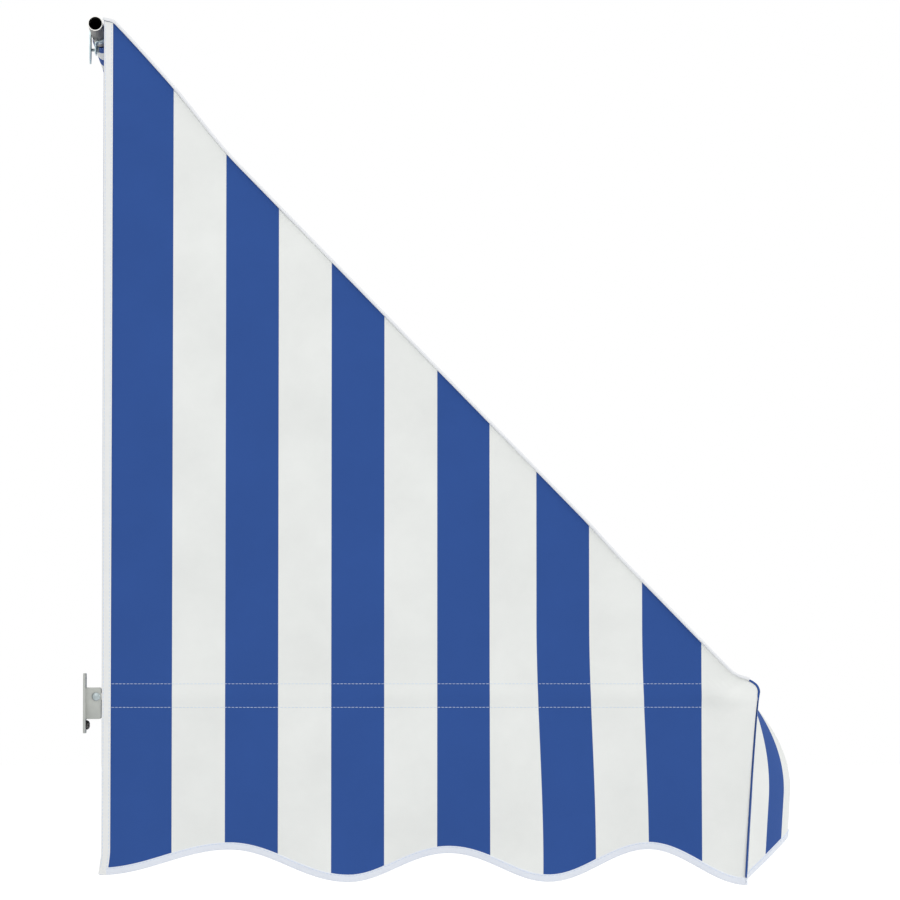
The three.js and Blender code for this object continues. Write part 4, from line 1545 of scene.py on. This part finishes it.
@dataclass
class TubeFrame:
    """The head rod, the two bent arms and the front bar."""

    wall: float = 1.2 * MM
    corner: float = 50 * MM
    bend_steps: int = 20

    def straight(self, node: str, name: str) -> bpy.types.Object:
        """A straight tube along Y in the place of a CAD tube.

        Args:
            node: The CAD tube.
            name: The new piece's name.

        Returns:
            The tube.
        """
        low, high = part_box(node)
        radius = (high.x - low.x) / 2
        x, z = (low.x + high.x) / 2, (low.z + high.z) / 2
        path = [Vector((x, mix(low.y, high.y, i / 12), z)) for i in range(13)]
        bm = tube(path, radius, radius - self.wall, Vector((0, 0, 1)))
        piece = finish_piece(name, bm, GALVANISED, Slot.TUBE, [node], 60)
        bare_ends_and_highlight(piece)
        return piece

    def arm(self, name: str, side: int) -> bpy.types.Object:
        """An arm with its bent corner.

        Args:
            name: left or right.
            side: Which way the wing faces.

        Returns:
            The tube.
        """
        low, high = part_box(f"arm_{name}")
        radius = (high.z - low.z) / 2
        z = (low.z + high.z) / 2
        outer = max(abs(low.y), abs(high.y)) - radius
        inner = min(abs(low.y), abs(high.y))
        x_end = high.x - radius
        centre = Vector((x_end - self.corner, outer - self.corner))
        flat = [Vector((mix(low.x, centre.x, i / 10), outer)) for i in range(10)]
        flat += arc(centre, self.corner, math.pi / 2, 0.0, self.bend_steps)
        flat += [Vector((x_end, mix(centre.y, inner, i / 3))) for i in range(1, 4)]
        path = [Vector((p.x, side * p.y, z)) for p in flat]
        bm = tube(path, radius, radius - self.wall, Vector((0, 0, 1)))
        piece = finish_piece(f"arm_tube_{name}", bm, GALVANISED, Slot.TUBE, [f"arm_{name}"], 60)
        bare_ends_and_highlight(piece)
        return piece

    def build(self) -> None:
        """Builds the four tubes."""
        self.straight("head_rod", "head_tube")
        self.straight("front_bar", "front_tube")
        for name, side in SIDES.items():
            self.arm(name, side)


@dataclass
class Hardware:
    """Clips, brackets, sleeves and fasteners, each a softened copy of its CAD node."""

    bevel: float = 0.35 * MM

    def build(self) -> None:
        """Dresses every piece of hardware."""
        for place in ("left", "middle", "right"):
            dressed_copy(f"head_clip_{place}", f"strap_clip_{place}", ZINC, Slot.STRAP, self.bevel)
            dressed_copy(f"head_clip_screw_{place}", f"strap_screw_{place}", FASTENER, Slot.FASTENER,
                         0.15 * MM)
        for name in SIDES:
            dressed_copy(f"wall_bracket_{name}", f"arm_bracket_{name}", POWDER, Slot.BRACKET, self.bevel)
            dressed_copy(f"wall_screw_{name}", f"bracket_screw_{name}", BLACK, Slot.DARK, 0.15 * MM)
            dressed_copy(f"joint_sleeve_{name}", f"corner_sleeve_{name}", GALVANISED, Slot.TUBE, 0.1 * MM)
            for part in ("bolt", "washer", "nut"):
                dressed_copy(f"arm_{part}_{name}", f"bracket_{part}_{name}", FASTENER, Slot.FASTENER,
                             0.12 * MM)
            for end in ("bar", "arm"):
                dressed_copy(f"joint_screw_{name}_{end}", f"corner_screw_{name}_{end}", FASTENER,
                             Slot.FASTENER, 0.1 * MM)


# The studio

@dataclass(frozen=True)
class Photograph:
    """Where the object stands in the reference picture, in its pixels."""

    size: float = 900.0
    wall: float = 85.0
    rod: float = 22.2
    mm_per_pixel: float = 1.34
    vanish_x: float = 316.0
    vanish_y: float = 669.0


def seen_rays(tree: bpy.types.NodeTree) -> bpy.types.NodeSocket:
    """Tells the rays that show a surface to the eye, straight, mirrored or through glass.

    Args:
        tree: The node tree of a background.

    Returns:
        An output that is 1 for such a ray.
    """
    rays = add_node(tree, "ShaderNodeLightPath")
    eye = add_node(tree, "ShaderNodeMath", {"operation": "MAXIMUM"},
                   {0: rays.outputs["Is Camera Ray"], 1: rays.outputs["Is Transmission Ray"]})
    seen = add_node(tree, "ShaderNodeMath", {"operation": "MAXIMUM"},
                    {0: eye.outputs[0], 1: rays.outputs["Is Glossy Ray"]})
    return seen.outputs[0]


@dataclass
class Studio:
    """Camera, lamps, floor and backdrop."""

    cover: Cover
    photo: Photograph = Photograph()
    distance: float = 6.0
    sensor: float = 36.0
    sky: float = 0.66
    lit_place: tuple[float, float, float] = (0.45, 0.0, -0.6)

    def spot(self, px: float, py: float) -> Vector:
        """The place on the near wing's plane that a pixel shows.

        Args:
            px: The pixel's place from the picture's left edge.
            py: Its place from the upper edge.

        Returns:
            The place.
        """
        p = self.photo
        return Vector(((px - p.wall) * p.mm_per_pixel * MM, -self.cover.half,
                       self.cover.rod.y - (py - p.rod) * p.mm_per_pixel * MM))

    def camera(self) -> None:
        """A long lens square to the wing at the vanishing point, turned to the picture's middle."""
        p = self.photo
        data = bpy.data.cameras.new("camera")
        eye = bpy.data.objects.new("camera", data)
        bpy.context.scene.collection.objects.link(eye)
        square = self.spot(p.vanish_x, p.vanish_y)
        eye.location = square - Vector((0, self.distance, 0))
        aim = self.spot(p.size / 2, p.size / 2)
        eye.rotation_euler = (aim - eye.location).to_track_quat("-Z", "Y").to_euler()
        reach = (aim - eye.location).length
        data.sensor_fit = "HORIZONTAL"
        data.sensor_width = self.sensor
        data.lens = self.sensor * reach / (p.size * p.mm_per_pixel * MM)
        data.clip_end = 100.0
        bpy.context.scene.camera = eye

    def lamp(self, name: str, place: tuple[float, float, float], size: float, power: float,
             shade: str = "#FFFFFF") -> None:
        """A square soft lamp that looks at the awning's middle.

        Args:
            name: The lamp's name.
            place: Where it hangs.
            size: Its side's length.
            power: Its power in watts.
            shade: Its colour.
        """
        data = bpy.data.lights.new(name, "AREA")
        data.shape, data.size, data.energy = "SQUARE", size, power
        data.color = linear(shade)[:3]
        lamp = bpy.data.objects.new(name, data)
        lamp.location = place
        lamp.rotation_euler = (Vector(self.lit_place) - lamp.location).to_track_quat("-Z", "Y").to_euler()
        bpy.context.scene.collection.objects.link(lamp)

    def world(self) -> None:
        """A white sky for the camera and the reflections, a softer one for the light."""
        world = bpy.data.worlds.new("studio")
        bpy.context.scene.world = world
        world.use_nodes = True
        tree = world.node_tree
        tree.nodes.clear()
        dim = add_node(tree, "ShaderNodeBackground", {"Color": linear("#F4F6FA"), "Strength": self.sky})
        white = add_node(tree, "ShaderNodeBackground", {"Color": (1, 1, 1, 1), "Strength": 1.0})
        both = add_node(tree, "ShaderNodeMixShader",
                        links={0: seen_rays(tree), 1: dim.outputs[0], 2: white.outputs[0]})
        add_node(tree, "ShaderNodeOutputWorld", links={0: both.outputs[0]})

    def floor(self, drop: float = 0.5, reach: float = 30.0) -> None:
        """A plain pale floor well below the awning.

        Args:
            drop: How far below the hem it lies.
            reach: How far it reaches each way.
        """
        bm = bmesh.new()
        bmesh.ops.create_grid(bm, x_segments=2, y_segments=2, size=reach)
        mesh = bpy.data.meshes.new("floor")
        bmesh.ops.translate(bm, verts=bm.verts[:], vec=Vector((0, 0, self.cover.low - drop)))
        bm.to_mesh(mesh)
        bm.free()
        ground = bpy.data.objects.new("floor", mesh)
        bpy.context.scene.collection.objects.link(ground)
        paint = bpy.data.materials.new("pale floor")
        paint.use_nodes = True
        tree = paint.node_tree
        tree.nodes.clear()
        matt = add_node(tree, "ShaderNodeBsdfDiffuse", {"Color": linear("#EFEFEF")})
        strength = add_node(tree, "ShaderNodeMath", {"operation": "MULTIPLY", 1: self.sky},
                            {0: seen_rays(tree)})
        glow = add_node(tree, "ShaderNodeEmission", {"Color": (1, 1, 1, 1)},
                        {"Strength": strength.outputs[0]})
        both = add_node(tree, "ShaderNodeAddShader", links={0: matt.outputs[0], 1: glow.outputs[0]})
        add_node(tree, "ShaderNodeOutputMaterial", links={"Surface": both.outputs[0]})
        mesh.materials.append(paint)

    def build(self) -> None:
        """Sets up the sky, the lamps and the floor; the camera is set up first, by itself."""
        self.world()
        self.lamp("key", (-0.6, -4.2, 1.6), 3.0, 44)
        self.lamp("fill", (4.4, -1.6, 0.4), 3.0, 42)
        self.lamp("back", (-2.5, 2.5, 1.5), 2.5, 24)
        self.floor()
        bpy.context.scene.view_settings.view_transform = "Standard"


def main() -> None:
    """Builds the awning round the frame and reports each piece."""
    logging.basicConfig(level=logging.INFO, format="%(message)s")
    cover = Cover(CoverShape())
    studio = Studio(cover)
    studio.camera()
    TubeFrame().build()
    Hardware().build()
    RoofSheet(cover).build()
    wings = {name: Wing(cover, side) for name, side in SIDES.items()}
    for name, wing in wings.items():
        wing.build(name)
    Trim(cover).build(wings)
    Pockets(cover).build()
    thread = Stitching(cover)
    for name, side in SIDES.items():
        thread.sleeve_rows(name, wings[name])
        thread.trim_rows(name, side, wings[name])
    thread.roof_rows()
    studio.build()


if __name__ == "__main__":
    main()
